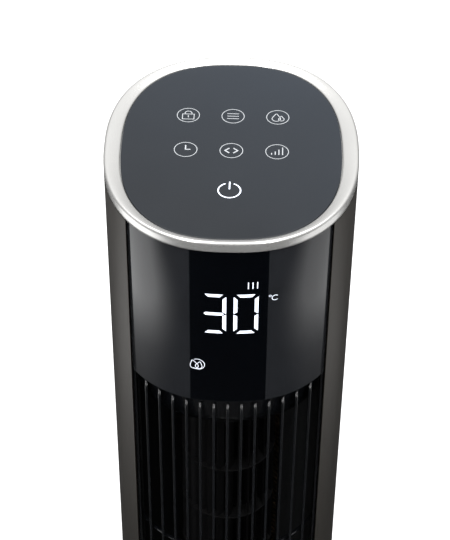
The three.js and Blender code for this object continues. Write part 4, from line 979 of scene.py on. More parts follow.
class TowerFanStudioSettings(bpy.types.PropertyGroup):
    """Floor, lamps and camera"""

    floor: FloatProperty(name="Floor size", description="Side of the floor", default=14.0, unit="LENGTH")
    floor_color: FloatVectorProperty(
        name="Floor colour", description="Pale floor", default=(0.90, 0.90, 0.90), subtype="COLOR"
    )
    azimuth: FloatProperty(
        name="Azimuth",
        description="Camera's turn round the fan",
        default=math.radians(0.63),
        subtype="ANGLE",
    )
    elevation: FloatProperty(
        name="Elevation", description="Camera's height angle", default=math.radians(42.34), subtype="ANGLE"
    )
    roll: FloatProperty(
        name="Roll", description="Camera's roll", default=math.radians(0.48), subtype="ANGLE"
    )
    distance: FloatProperty(
        name="Distance", description="Camera to target, in half widths of the column", default=12.915
    )
    aim_x: FloatProperty(name="Aim X", description="Target, in half widths", default=-0.027)
    aim_y: FloatProperty(name="Aim Y", description="Target, in half widths", default=-1.462)
    lens: FloatProperty(name="Lens", description="Focal length in millimetres", default=119.05, min=10)


# ------------------------------------------------------------------ pieces of the head
RIM_STEPS = 240


def ring_profile():
    """Points round the ring's section, from the foot of its outer wall: the share of the way from the outer
    outline to the inner one, and the height."""
    low, top = RING_LOW.z, RING_HIGH.z
    panel_top = PANEL_HIGH.z
    ledge = PANEL_LOW.z - 0.3 * MM
    crest_height = 1.4 * head().crest
    crest_reach = 1.5 * head().crest / (HALF_WIDTH - PANEL_HIGH.x)
    slope_end, seat, foot = 0.975, 1.22, 0.6
    points = [(0.03, low), (0.0, low + 0.5 * MM), (0.0, low + 3 * MM), (0.0, top - crest_height)]
    for sine, swing in quarter(7)[1:]:
        points.append((crest_reach * swing, top - crest_height * (1 - sine)))
    slope_start = points[-1][0]
    for i in range(1, 9):
        share = i / 8
        fall = (top - panel_top - 0.2 * MM) * share ** 1.5
        points.append((slope_start + (slope_end - slope_start) * share, top - fall))
    return points + [(1.0, panel_top - 0.6 * MM), (1.0, ledge), (seat, ledge), (seat, low), (foot, low)]


def top_ring_piece():
    """Closed silver ring round the rim, with a rounded crest and a slope down to the panel."""
    gap = 0.7 * MM
    outer = section(HALF_WIDTH, HALF_DEPTH, column().power, RIM_STEPS)
    inner = section(PANEL_HIGH.x + gap, PANEL_HIGH.y + gap, head().panel_power, RIM_STEPS)
    rings = []
    for share, z in ring_profile():
        ring = []
        for (x0, y0), (x1, y1) in zip(outer, inner):
            ring.append((x0 + (x1 - x0) * share, y0 + (y1 - y0) * share, z))
        rings.append(ring)
    ring = smooth(lofted("silver_top_ring", rings, closed=True), 50)
    return place_piece(ring, "column", "trim", replaces=["top_ring"])


def touch_panel_piece():
    """Flat dark panel inside the ring, with a small rounded edge. The ring of points just inside the edge
    keeps the shading of the edge off the flat."""
    edge = 0.5 * MM
    rings = []
    for inset, z in [
        (0.0, PANEL_LOW.z),
        (0.0, PANEL_HIGH.z - edge),
        (0.15 * edge, PANEL_HIGH.z - 0.5 * edge),
        (0.5 * edge, PANEL_HIGH.z - 0.15 * edge),
        (edge, PANEL_HIGH.z),
        (edge + 0.3 * MM, PANEL_HIGH.z),
        (9 * MM, PANEL_HIGH.z),
    ]:
        outline = section(PANEL_HIGH.x - inset, PANEL_HIGH.y - inset, head().panel_power, RIM_STEPS)
        rings.append([(x, y, z) for x, y in outline])
    panel = smooth(lofted("touch_panel", rings), 40)
    return place_piece(panel, "column", "touch", replaces=["top_panel"])


def lock_marks(middle, size, line):
    """Padlock with its keyhole."""
    x, y = middle
    body = [(x - 0.52 * size, y - 0.58 * size), (x + 0.52 * size, y - 0.58 * size)]
    body += [(x + 0.52 * size, y + 0.16 * size), (x - 0.52 * size, y + 0.16 * size)]
    bend = 0.31 * size
    shackle = [(x + bend, y + 0.18 * size)] + arc_points((x, y + 0.28 * size), bend, 0, 180, 14)
    shackle.append((x - bend, y + 0.18 * size))
    keyhole = [(x, y - 0.02 * size), (x, y - 0.34 * size)]
    return stroke(body, line, closed=True) + stroke(shackle, line) + stroke(keyhole, line)


def mode_marks(middle, size, line):
    """Three level bars."""
    x, y = middle
    half = 0.53 * size
    marks = []
    for row in (-1, 0, 1):
        bar_y = y + row * 0.36 * size
        marks += stroke([(x - half, bar_y), (x + half, bar_y)], line)
    return marks


def drops_marks(middle, size, line):
    """Outlines of a large and a small drop."""
    x, y = middle
    big = drop_outline((x - 0.13 * size, y + 0.04 * size), 0.90 * size)
    small = drop_outline((x + 0.32 * size, y - 0.12 * size), 0.58 * size)
    return stroke(big, line, closed=True) + stroke(small, line, closed=True)


def clock_marks(middle, size, line):
    """Hands of a clock."""
    x, y = middle[0] - 0.02 * size, middle[1] + 0.02 * size
    return stroke([(x, y + 0.60 * size), (x, y), (x + 0.44 * size, y)], line * 1.6)


def swing_marks(middle, size, line):
    """Arrow heads to the left and the right."""
    x, y = middle
    marks = []
    for side in (-1, 1):
        tip = (x + side * 0.56 * size, y)
        ends = [(x + side * 0.18 * size, y + offset * size) for offset in (0.34, -0.34)]
        marks += stroke([ends[0], tip, ends[1]], line * 1.7)
    return marks


def speed_marks(middle, size, line):
    """Four upright bars that grow to the right."""
    x, y = middle
    marks = []
    for i, share in enumerate((0.24, 0.46, 0.74, 1.05)):
        left = x + (i - 1.5) * 0.32 * size
        marks += stroke([(left, y - 0.44 * size), (left, y - 0.44 * size + share * size)], line * 1.25)
    return marks


def on_panel(u, v, lift):
    """Point on the touch panel; the print is turned a little against the ring."""
    c, s = math.cos(head().print_turn), math.sin(head().print_turn)
    return u * c - v * s, u * s + v * c, PANEL_HIGH.z + lift


def touch_signs_piece():
    """Printed signs on the panel: lock, mode, humidify, timer, swing, speed and power."""
    settings = head()
    radius = settings.sign_radius
    spacing = settings.sign_spacing
    line, circle_line, power_line = 0.8 * MM, 0.7 * MM, 1.2 * MM
    opening = 22
    uncut = 1.0
    rows = [
        (settings.rear_row, (lock_marks, mode_marks, drops_marks)),
        (settings.front_row, (clock_marks, swing_marks, speed_marks)),
    ]
    marks = []
    for y, makers in rows:
        for x, maker in zip((-spacing, 0.0, spacing), makers):
            marks += stroke(circle_points((x, y), radius, 72), circle_line, closed=True)
            marks += maker((x, y), radius, line)
    signs = sign("touch_signs", marks, on_panel, 0.05 * MM, uncut)
    place_piece(signs, "column", "touch", "sign")
    y = settings.power_row
    arcs = stroke(arc_points((0, y), 0.96 * radius, 90 + opening, 450 - opening, 60), power_line)
    arcs += stroke([(0, y + 0.16 * radius), (0, y + 1.16 * radius)], 1.25 * MM)
    power = sign("power_sign", arcs, on_panel, 0.06 * MM, uncut)
    return place_piece(power, "column", "touch", "power")


def digit_patches(lit, left, width, top, height):
    """Seven-segment digit with chamfered ends: lit names its segments by the usual letters a to g."""
    bar, gap = 3.5 * MM, 0.55 * MM
    right, bottom, middle = left + width, top - height, top - height / 2
    near, far = 0.72 * bar + gap, 1.62 * bar + gap
    shapes = {"g": []}
    for x, side in ((left, 1), (right, -1)):
        ends = [(x + side * 1.1 * bar, middle + side * bar / 2), (x + side * 0.6 * bar, middle)]
        shapes["g"] += ends + [(x + side * 1.1 * bar, middle - side * bar / 2)]
    for name, z, inward in (("a", top, -1), ("d", bottom, 1)):
        edge = [(left + near, z), (right - near, z)]
        shapes[name] = edge + [(right - far, z + inward * bar), (left + far, z + inward * bar)]
    for upper, lower, x, inward in (("f", "e", left, 1), ("b", "c", right, -1)):
        for name, z, side in ((upper, top, 1), (lower, bottom, -1)):
            inner_x = x + inward * bar
            outer = [(x, z - side * near), (x, middle + side * gap)]
            shapes[name] = outer + [(inner_x, middle + side * (gap + 0.6 * bar)), (inner_x, z - side * far)]
    return [shapes[letter] for letter in lit]


def on_fascia(u, v, lift):
    """Point on the fascia's face at u across and height v, raised by lift."""
    return (u, -depth_at(u, FASCIA_INSET) - lift, v)


def display_pieces():
    """Lit digits, three-bar sign, degree sign, unit sign and humidify sign, thin on the fascia's face."""
    settings = head()
    top = RING_HIGH.z - settings.digit_drop
    tens_x, ones_x, digit_width = -26.0 * MM, 4.7 * MM, 23.6 * MM
    patches = digit_patches("abcdg", tens_x, digit_width, top, settings.digit_height)
    patches += digit_patches("abcdef", ones_x, digit_width, top, settings.digit_height)
    bars_x, bar_pitch, bars_low, bars_high = 18.4 * MM, 4.3 * MM, top + 7.2 * MM, top + 15.4 * MM
    for i in range(3):
        x = bars_x + bar_pitch * i
        patches += stroke([(x, bars_low), (x, bars_high)], 0.85 * MM)
    digits = sign("lit_digits", patches, on_fascia, 0.08 * MM)
    place_piece(digits, "column", "white", "lit")
    degree, unit = (39.3 * MM, top - 4.6 * MM), (44.2 * MM, top - 7.6 * MM)
    marks = stroke(arc_points(degree, 1.05 * MM, 0, 345, 20), 0.45 * MM, closed=True)
    marks += stroke(arc_points(unit, 3.1 * MM, 46, 314, 24), 0.6 * MM)
    x, z = -30.6 * MM, RING_HIGH.z - 162.4 * MM
    line = 0.5 * MM
    marks += stroke(arc_points((x + 0.6 * MM, z), 6.9 * MM, -128, 118, 40), line)
    marks += stroke(drop_outline((x - 3.4 * MM, z), 9.6 * MM, 14), line, closed=True)
    marks += stroke(drop_outline((x + 2.2 * MM, z - 0.4 * MM), 8.0 * MM, -12), line, closed=True)
    signs = sign("display_signs", marks, on_fascia, 0.06 * MM)
    return place_piece(signs, "column", "white", "power")


# ------------------------------------------------------------------ shells of the column
def front_panel_piece(name, low, high, node):
    """Curved gloss black front between two heights, in place of the node."""
    panel = wall_panel(name, FRONT_HALF, -1, FASCIA_INSET, 4 * MM, low.z, high.z, 80)
    return place_piece(round_edges(panel, 0.9 * MM, 4), "column", "gloss", replaces=[node])


def side_shell_piece(mirror):
    """Bronze-grey side of the column, from the outlet round to the intake."""
    wall = column().wall
    power = column().power
    front_x = FRONT_HALF + column().seam
    rear_x = REAR_HALF + column().seam

    def arc(inset, x_front, x_rear, count=90):
        half = HALF_WIDTH - inset
        start = -math.acos((x_front / half) ** (power / 2))
        end = math.acos((x_rear / half) ** (power / 2))
        turns = [start + (end - start) * i / count for i in range(count + 1)]
        return [on_section(half, HALF_DEPTH - inset, power, t) for t in turns]

    outer = arc(0.0, front_x, rear_x)
    inner = arc(wall, front_x + wall, rear_x)[::-1]
    back = outer[0][1] + column().flange
    outline = outer + inner + [(front_x + wall, back), (front_x, back)]
    if mirror:
        outline = [(-x, y) for x, y in reversed(outline)]
    name, node = ("left_shell", "left_side_shell") if mirror else ("right_shell", "right_side_shell")
    shell = prism(name, outline, SHELL_LOW.z, SHELL_HIGH.z)
    return place_piece(round_edges(shell, column().edge, 3), "column", "shell", replaces=[node])


# ------------------------------------------------------------------ outlet grille and impeller
def fin(x, low, high):
    """One upright fin: a flat nose with rounded edges, tapering to the rear, its shoulder rounded off under
    the fascia."""
    settings = outlet()
    half = settings.fin_width / 2
    tail = 0.72 * half
    front = -depth_at(x, GRILLE_INSET + 0.4 * MM)
    depth = settings.fin_depth
    edge = 0.95 * MM
    outline = []
    for i in range(5):
        t = math.radians(22.5 * i)
        outline.append((half - edge + edge * math.sin(t), front + edge - edge * math.cos(t)))
    outline += [(tail, front + depth), (-tail, front + depth)]
    for i in range(5):
        t = math.radians(90 - 22.5 * i)
        outline.append((-half + edge - edge * math.sin(t), front + edge - edge * math.cos(t)))
    shoulder = settings.shoulder
    levels = [(0.0, low)]
    for i in range(9):
        t = math.radians(80 * i / 8)
        levels.append((shoulder * (1 - math.cos(t)) / depth, high - shoulder * (1 - math.sin(t))))
    rings = []
    for share, z in levels:
        rings.append([(x + px, py + (front + depth - py) * share, z) for px, py in outline])
    return lofted("fin", rings)


def hood():
    """Wall behind the fins' upper ends that curls back towards its lower end."""
    settings = outlet()
    front = face_curve(-FRONT_HALF, FRONT_HALF, -1, GRILLE_INSET + settings.hood_sink, 64)
    outline = front + [(x, y + 2 * MM) for x, y in reversed(front)]
    rings = []
    for sine, swing in quarter(12):
        back, z = settings.hood_curl * swing, GRILLE_HIGH.z - settings.hood * sine
        rings.append([(x, y + back, z) for x, y in outline])
    return lofted("hood", rings[::-1])


def front_grille_piece():
    """Outlet grille: upright fins between rails and side bars, with a hood and cross ribs behind them."""
    settings = outlet()
    low, high = GRILLE_LOW.z, GRILLE_HIGH.z
    pieces = []
    sink = 2 * MM
    for bottom, top in ((low, low + settings.rail), (high - settings.rail, high)):
        depth = settings.fin_depth - sink
        rail = wall_panel("rail", FRONT_HALF, -1, GRILLE_INSET + sink, depth, bottom, top, 48)
        pieces.append(round_edges(rail, 0.5 * MM, 2))
    pitch = 2 * FRONT_HALF / (settings.fins + 1)
    for i in range(settings.fins):
        x = (i - (settings.fins - 1) / 2) * pitch
        pieces.append(fin(x, low + 1 * MM, high - settings.fin_drop))
    pieces.append(hood())
    side_y = -depth_at(FRONT_HALF, GRILLE_INSET)
    bar = 3 * MM
    for side in (-1, 1):
        x0, x1 = sorted((side * FRONT_HALF, side * (FRONT_HALF - bar)))
        post = block("bar", (x0, side_y, low), (x1, side_y + settings.fin_depth, high))
        pieces.append(round_edges(post, 0.5 * MM, 2))
    for i in range(settings.ribs):
        z = low + (high - low) * (i + 1) / (settings.ribs + 1)
        rib = wall_panel("rib", FRONT_HALF - 1 * MM, -1, GRILLE_INSET + 6 * MM, 5 * MM, z, z + 3 * MM, 48)
        pieces.append(round_edges(rib, 0.6 * MM, 2))
    grille = smooth(join("outlet_grille", pieces), 40)
    return place_piece(grille, "column", "grille", replaces=["front_grille"])


def impeller_piece():
    """Cross-flow impeller: curved blades between discs, with a hub at each end."""
    settings = outlet()
    middle_y = middle_of(IMPELLER_LOW, IMPELLER_HIGH)[1]
    axle = 4.6 * MM
    radius = (IMPELLER_HIGH.x - IMPELLER_LOW.x) / 2
    low, high = IMPELLER_LOW.z, IMPELLER_HIGH.z
    rim, root, thick = 0.985 * radius, radius - 12.5 * MM, 1.1 * MM
    sweep = 0.15
    pieces = []
    for k in range(settings.blades):
        start = 2 * math.pi * k / settings.blades
        outer, inner = [], []
        for i in range(7):
            share = i / 6
            r = rim + (root - rim) * share
            turn = start + sweep * math.sin(share * math.pi / 2)
            swell = thick / 2 * (0.45 + 0.55 * math.sin(math.pi * min(0.9, share + 0.12)))
            outer.append((r * math.cos(turn - swell / r), middle_y + r * math.sin(turn - swell / r)))
            inner.append((r * math.cos(turn + swell / r), middle_y + r * math.sin(turn + swell / r)))
        pieces.append(prism("blade", outer + inner[::-1], low + 0.5 * MM, high - 0.5 * MM))
    wall = 2 * MM
    for i in range(settings.discs):
        z = low + (high - low - wall) * i / (settings.discs - 1)
        bore = axle if i in (0, settings.discs - 1) else root - 3 * MM
        edge = 0.35 * MM
        profile = [(bore, z), (radius - edge, z), (radius, z + edge), (radius, z + wall - edge)]
        profile += [(radius - edge, z + wall), (bore, z + wall)]
        pieces.append(turned("disc", profile, (0.0, middle_y), 72))
    for z0, z1 in ((low, low + 16 * MM), (high - 12 * MM, high)):
        profile = [(axle, z0), (10 * MM, z0), (10 * MM, z1), (axle, z1)]
        pieces.append(turned("hub", profile, (0.0, middle_y), 40))
    wheel = smooth(join("crossflow_impeller", pieces), 35)
    return place_piece(wheel, "fan", "inner", "fan", replaces=["impeller"])


# ------------------------------------------------------------------ base
BASE_RADIUS = 0.175


def base_cover_piece():
    """Low round base cover, rising to a flat collar round the turntable."""
    radius, low, top = BASE_RADIUS, BASE_LOW.z, BASE_HIGH.z
    wall = 3 * MM
    mouth = TABLE_HIGH.x + 1.2 * MM
    rim = low + 0.27 * (top - low)
    crown, shoulder = mouth + 22 * MM, radius - 36 * MM
    rim_reach, rim_height, sag = 5.5 * MM, 5.0 * MM, 1.9
    outer = [(radius - 1.0 * MM, low), (radius - 0.2 * MM, low + 1.0 * MM)]
    outer += [(radius, low + 2.5 * MM), (radius, rim)]
    for sine, swing in quarter(6)[1:]:
        outer.append((radius - rim_reach * swing, rim + rim_height * sine))
    start, rise = outer[-1][0], top - outer[-1][1]
    for i in range(1, 15):
        share = i / 14
        outer.append((start + (crown - start) * share, top - rise * (1 - share) ** sag))
    outer += [(mouth + 1.2 * MM, top), (mouth + 0.35 * MM, top - 0.35 * MM)]
    outer += [(mouth, top - 1.2 * MM), (mouth, top - wall)]
    inner = [(crown, top - wall), (shoulder, top - 4 * MM - wall), (radius - 8 * MM, rim + 1.5 * MM)]
    inner += [(radius - wall, rim - 1 * MM), (radius - wall, low)]
    cover = turned("base_cover_shell", outer + inner, steps=144)
    notch = block(
        "notch",
        (GLAND_LOW.x - 0.3 * MM, GLAND_LOW.y - 1.5 * MM, low - 5 * MM),
        (GLAND_HIGH.x + 0.3 * MM, radius + 5 * MM, GLAND_HIGH.z + 0.3 * MM),
    )
    carve(cover, notch)
    return place_piece(smooth(cover, 34), "base", "base", replaces=["base_cover"])


def foot_pieces():
    """Rubber feet with a rounded tread and a shallow well."""
    for i in range(1, 5):
        low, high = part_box(f"foot_{i}")
        radius = (high.x - low.x) / 2
        pin, well, edge = 0.3 * MM, 0.6 * MM, 0.9 * MM
        profile = [(pin, low.z + well), (radius - 4 * MM, low.z + well), (radius - 3.5 * MM, low.z)]
        profile += [(radius - edge + edge * sine, low.z + edge * swing) for sine, swing in quarter(4)]
        profile += [(radius, high.z), (pin, high.z)]
        foot = turned_plug(f"rubber_foot_{i}", profile, middle_of(low, high), 48)
        smooth(foot, 40)
        place_piece(foot, "base", "rubber", replaces=[f"foot_{i}"])


def gland_piece():
    """Rubber cord gland with its bore, at the rear of the base."""
    body = block("gland", GLAND_LOW, GLAND_HIGH)
    middle = (0, (GLAND_LOW.z + GLAND_HIGH.z) / 2)
    bore = circle_points(middle, 3.7 * MM, 24)
    ends = (GLAND_LOW.y - 1 * MM, GLAND_HIGH.y + 1 * MM)
    carve(body, lofted("bore", [[(x, y, z) for x, z in bore] for y in ends]))
    return place_piece(round_edges(body, 0.6 * MM, 3), "base", "rubber", replaces=["cord_gland"])


def turntable_piece():
    """Round plate that carries the column, turning in the base's collar."""
    low, high = TABLE_LOW.z, TABLE_HIGH.z
    radius = TABLE_HIGH.x
    plate_top = low + 5 * MM
    hub, bore = 24.1 * MM, 18.1 * MM
    edge, fillet = 0.8 * MM, 1.5 * MM
    profile = [(bore, low), (radius - edge, low), (radius, low + edge)]
    profile += [(radius, plate_top - edge), (radius - edge, plate_top)]
    profile += [(hub + fillet, plate_top), (hub, plate_top + fillet), (hub, high), (bore, high)]
    table = turned("turntable_plate", profile, steps=120)
    pinion = middle_of(*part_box("swing_pinion"))
    hole = prism("hole", circle_points(pinion, 4 * MM, 24), low - 1 * MM, high)
    carve(table, hole)
    return place_piece(smooth(table, 34), "column", "inner", replaces=["turntable"])


# ------------------------------------------------------------------ rear side
REAR_GAP = 0.3 * MM


def stadium(x, low, high, width):
    """Outline of an upright slot with round ends, in the XZ plane."""
    radius = width / 2
    points = arc_points((x, high - radius), radius, 0, 180, 8)
    return points + arc_points((x, low + radius), radius, 180, 360, 8)


def rear_cutter(name, outline, start_y):
    """Solid along Y over an outline in the XZ plane, for cutting the rear panels."""
    near = [(x, start_y, z) for x, z in outline]
    far = [(x, HALF_DEPTH + 10 * MM, z) for x, z in outline]
    return lofted(name, [near, far])


def rounded_rect(low_x, high_x, low_z, high_z, radius, count=6):
    """Outline of a rectangle with round corners, in the XZ plane."""
    corners = [(high_x - radius, high_z - radius, 0), (low_x + radius, high_z - radius, 90)]
    corners += [(low_x + radius, low_z + radius, 180), (high_x - radius, low_z + radius, 270)]
    return [p for x, z, a in corners for p in arc_points((x, z), radius, a, a + 90, count)]


def box_outline(low, high, grow, radius):
    """Rounded outline of a box seen from the rear, grown on every side."""
    return rounded_rect(low.x - grow, high.x + grow, low.z - grow, high.z + grow, radius)


def rear_grille_piece():
    """Intake cover with rows of upright slots."""
    settings = rear()
    low, high = INTAKE_LOW.z, INTAKE_HIGH.z
    panel = wall_panel("intake_cover", REAR_HALF, 1, 0.0, settings.wall, low, high, 64)
    field = high - low - 2 * settings.bridge
    slot_height = (field - (settings.rows - 1) * settings.bridge) / settings.rows
    pitch = 2 * REAR_HALF / (settings.columns + 1.6)
    cutters = []
    for row in range(settings.rows):
        z = low + settings.bridge + row * (slot_height + settings.bridge)
        for i in range(settings.columns):
            x = (i - (settings.columns - 1) / 2) * pitch
            slot = stadium(x, z, z + slot_height, settings.slot)
            cutters.append(rear_cutter("slot", slot, 0.5 * HALF_DEPTH))
    carve(panel, join("slots", cutters))
    return place_piece(round_edges(panel, 0.5 * MM, 2), "rear_cover", "shell", replaces=["rear_grille"])


def rear_cap_pieces():
    """Upper rear panel with the carry grip's mouth, and the cup behind it."""
    settings = rear()
    panel = wall_panel("rear_cap_shell", REAR_HALF, 1, 0.0, settings.wall, CAP_LOW.z, CAP_HIGH.z, 64)
    mouth = box_outline(CUP_LOW, CUP_HIGH, REAR_GAP, 7 * MM)
    carve(panel, rear_cutter("mouth", mouth, 0.5 * HALF_DEPTH))
    place_piece(round_edges(panel, 0.7 * MM, 3), "column", "shell", replaces=["rear_cap"])
    cup = scoop("carry_grip_cup", CUP_LOW, CUP_HIGH, 6.7 * MM, 4.8 * MM)
    return place_piece(cup, "column", "inner", replaces=["handle_cup"])


def scoop(name, low, high, outer_radius, inner_radius):
    """Open box between two corners, lying on its side: rounded, and open at the rear."""
    wall = 2 * MM
    outer = box_outline(low, high, 0.0, outer_radius)
    inner = box_outline(low, high, -wall, inner_radius)
    rings = [[(x, low.y, z) for x, z in outer], [(x, high.y, z) for x, z in outer]]
    rings += [[(x, high.y, z) for x, z in inner], [(x, low.y + wall, z) for x, z in inner]]
    return round_edges(lofted(name, rings), 0.5 * MM, 2)


def tank_door_pieces():
    """Door on the tank with its finger opening and level window, and the pocket behind the opening."""
    settings = rear()
    door = wall_panel("tank_door_shell", REAR_HALF, 1, 0.0, settings.wall, DOOR_LOW.z, DOOR_HIGH.z, 64)
    openings = (
        ("opening", box_outline(POCKET_LOW, POCKET_HIGH, -3 * MM, 8 * MM)),
        ("pane_hole", box_outline(PANE_LOW, PANE_HIGH, REAR_GAP, 3 * MM)),
    )
    for name, outline in openings:
        carve(door, rear_cutter(name, outline, 0.4 * HALF_DEPTH))
    place_piece(round_edges(door, 0.7 * MM, 3), "tank", "shell", replaces=["tank_door"])
    pocket = scoop("tank_finger_pocket", POCKET_LOW, POCKET_HIGH, 8 * MM, 6.5 * MM)
    return place_piece(pocket, "tank", "inner", replaces=["door_grip"])


def water_window_piece():
    """Clear strip in the door, curved with it, that shows the water level."""
    outer = face_curve(PANE_LOW.x, PANE_HIGH.x, 1, 0.6 * MM, 10)
    inner = [(x, y - 3 * MM) for x, y in reversed(outer)]
    pane = prism("level_window", outer + inner, PANE_LOW.z, PANE_HIGH.z)
    return place_piece(round_edges(pane, 0.5 * MM, 3), "tank", "tank", replaces=["water_window"])


def dust_filter_pieces():
    """Filter frame with three gauze windows."""
    low, high = FILTER_LOW, FILTER_HIGH
    border = 8 * MM
    height = (high.z - low.z - 4 * border) / 3
    frame_piece = block("filter_frame", low, high)
    cutters, sheets = [], []
    for i in range(3):
        z = low.z + border + i * (height + border)
        corners = ((low.x + border, high.x - border), (z, z + height))
        outline = rounded_rect(*corners[0], *corners[1], 3 * MM)
        near = [(x, low.y - 1 * MM, y) for x, y in outline]
        far = [(x, high.y + 1 * MM, y) for x, y in outline]
        cutters.append(lofted("window", [near, far]))
        sheets.append(gauze_sheet(corners, (low.y + high.y) / 2))
    carve(frame_piece, join("windows", cutters))
    place_piece(round_edges(frame_piece, 0.6 * MM, 2), "rear_cover", "inner", replaces=["dust_filter"])
    return place_piece(join("filter_gauze", sheets), "rear_cover", "inner", "gauze")


def gauze_sheet(corners, y):
    """Thin rippled sheet of gauze between two corners."""
    (x0, x1), (z0, z1) = corners
    columns, rows, thick, tuck = 24, 30, 0.3 * MM, 2 * MM
    front, back = [], []
    for j in range(rows + 1):
        for i in range(columns + 1):
            x = x0 - tuck + (x1 - x0 + 2 * tuck) * i / columns
            z = z0 - tuck + (z1 - z0 + 2 * tuck) * j / rows
            ripple = 0.35 * MM * math.sin(i * 0.9) * math.sin(math.pi * j / rows)
            front.append((x, y - thick / 2 + ripple, z))
            back.append((x, y + thick / 2 + ripple, z))
    width = columns + 1
    total = len(front)
    faces = []
    for j in range(rows):
        for i in range(columns):
            a = j * width + i
            faces.append([a, a + 1, a + width + 1, a + width])
            faces.append([total + a, total + a + width, total + a + width + 1, total + a + 1])
    rim = list(range(width)) + [j * width + columns for j in range(1, rows + 1)]
    rim += [rows * width + i for i in range(columns - 1, -1, -1)]
    rim += [j * width for j in range(rows - 1, 0, -1)]
    for k, a in enumerate(rim):
        b = rim[(k + 1) % len(rim)]
        faces.append([a, total + a, total + b, b])
    return smooth(make_object("gauze", front + back, faces), 40)


# ------------------------------------------------------------------ nodes kept from the frame
def keep_inner_nodes():
    """Gives every node of the frame its finish, and those that stay in view slightly rounded edges."""
    slots = {s["node"]: s["material_slot"] for s in frame["record"]["subparts"]}
    for name, obj in sorted(frame["nodes"].items()):
        dress(obj, slots[name])
        if obj.hide_render:
            continue
        weld = obj.modifiers.new("weld", "WELD")
        weld.merge_threshold = 0.01 * MM
        bevel = obj.modifiers.new("round", "BEVEL")
        bevel.width = 0.35 * MM
        bevel.segments = 2
        bevel.limit_method = "ANGLE"
        bevel.angle_limit = math.radians(48)


# ------------------------------------------------------------------ operators
class TOWERFAN_OT_head(bpy.types.Operator):
    """Builds the silver ring, the touch panel, its signs and the display"""

    bl_idname = "towerfan.head"
    bl_label = "Ring, panel and display"

    def execute(self, context):
        top_ring_piece()
        touch_panel_piece()
        touch_signs_piece()
        front_panel_piece("front_fascia_shell", FASCIA_LOW, FASCIA_HIGH, "front_fascia")
        display_pieces()
        return {"FINISHED"}


class TOWERFAN_OT_shells(bpy.types.Operator):
    """Builds the side shells and the lower front"""

    bl_idname = "towerfan.shells"
    bl_label = "Column shells"

    def execute(self, context):
        side_shell_piece(mirror=False)
        side_shell_piece(mirror=True)
        front_panel_piece("lower_front_shell", LOWER_LOW, LOWER_HIGH, "lower_front_panel")
        return {"FINISHED"}


class TOWERFAN_OT_outlet(bpy.types.Operator):
    """Builds the outlet grille and the impeller behind it"""

    bl_idname = "towerfan.outlet"
    bl_label = "Outlet and impeller"

    def execute(self, context):
        front_grille_piece()
        impeller_piece()
        return {"FINISHED"}


class TOWERFAN_OT_base(bpy.types.Operator):
    """Builds the base cover, feet, gland and turntable"""

    bl_idname = "towerfan.base"
    bl_label = "Base"

    def execute(self, context):
        base_cover_piece()
        foot_pieces()
        gland_piece()
        turntable_piece()
        return {"FINISHED"}


class TOWERFAN_OT_rear(bpy.types.Operator):
    """Builds the intake cover with its filter, the rear cap and the carry grip"""

    bl_idname = "towerfan.rear"
    bl_label = "Intake and carry grip"

    def execute(self, context):
        rear_grille_piece()
        dust_filter_pieces()
        rear_cap_pieces()
        return {"FINISHED"}


class TOWERFAN_OT_tank(bpy.types.Operator):
    """Builds the tank's door, finger pocket and level window"""

    bl_idname = "towerfan.tank"
    bl_label = "Tank door"

    def execute(self, context):
        tank_door_pieces()
        water_window_piece()
        return {"FINISHED"}


class TOWERFAN_OT_inner(bpy.types.Operator):
    """Gives the frame's own nodes their finishes"""

    bl_idname = "towerfan.inner"
    bl_label = "Inner parts"

    def execute(self, context):
        keep_inner_nodes()
        return {"FINISHED"}


class TOWERFAN_OT_stage(bpy.types.Operator):
    """Sets up the floor, the lamps, the sky and the camera"""

    bl_idname = "towerfan.stage"
    bl_label = "Stage"

    def execute(self, context):
        lay_floor()
        hang_lamps()
        set_sky()
        set_camera()
        return {"FINISHED"}


# ------------------------------------------------------------------ stage
# The floor's pale boards, seen only in gloss: where each edge fades, from and to, in metres on the floor.
BOARD_INNER_EDGE = (0.50, 1.20)
BOARD_REAR_END = (0.15, 0.75)
BOARD_FRONT_END = (-1.15, -0.25)
BOARD_FAR_PART = (0.82, 1.16)
# Lamps: name, place, aim, width and height in metres, and power in watts.
LAMPS = (
    ("overhead_bank", (0.0, -0.35, 3.4), (0, -0.1, 0.6), (3.4, 3.0), 150),
    ("left_strip", (-1.1, -2.3, 1.9), (0, 0, 0.75), (0.22, 1.3), 16),
    ("right_strip", (1.1, -2.3, 1.9), (0, 0, 0.75), (0.22, 1.3), 16),
)


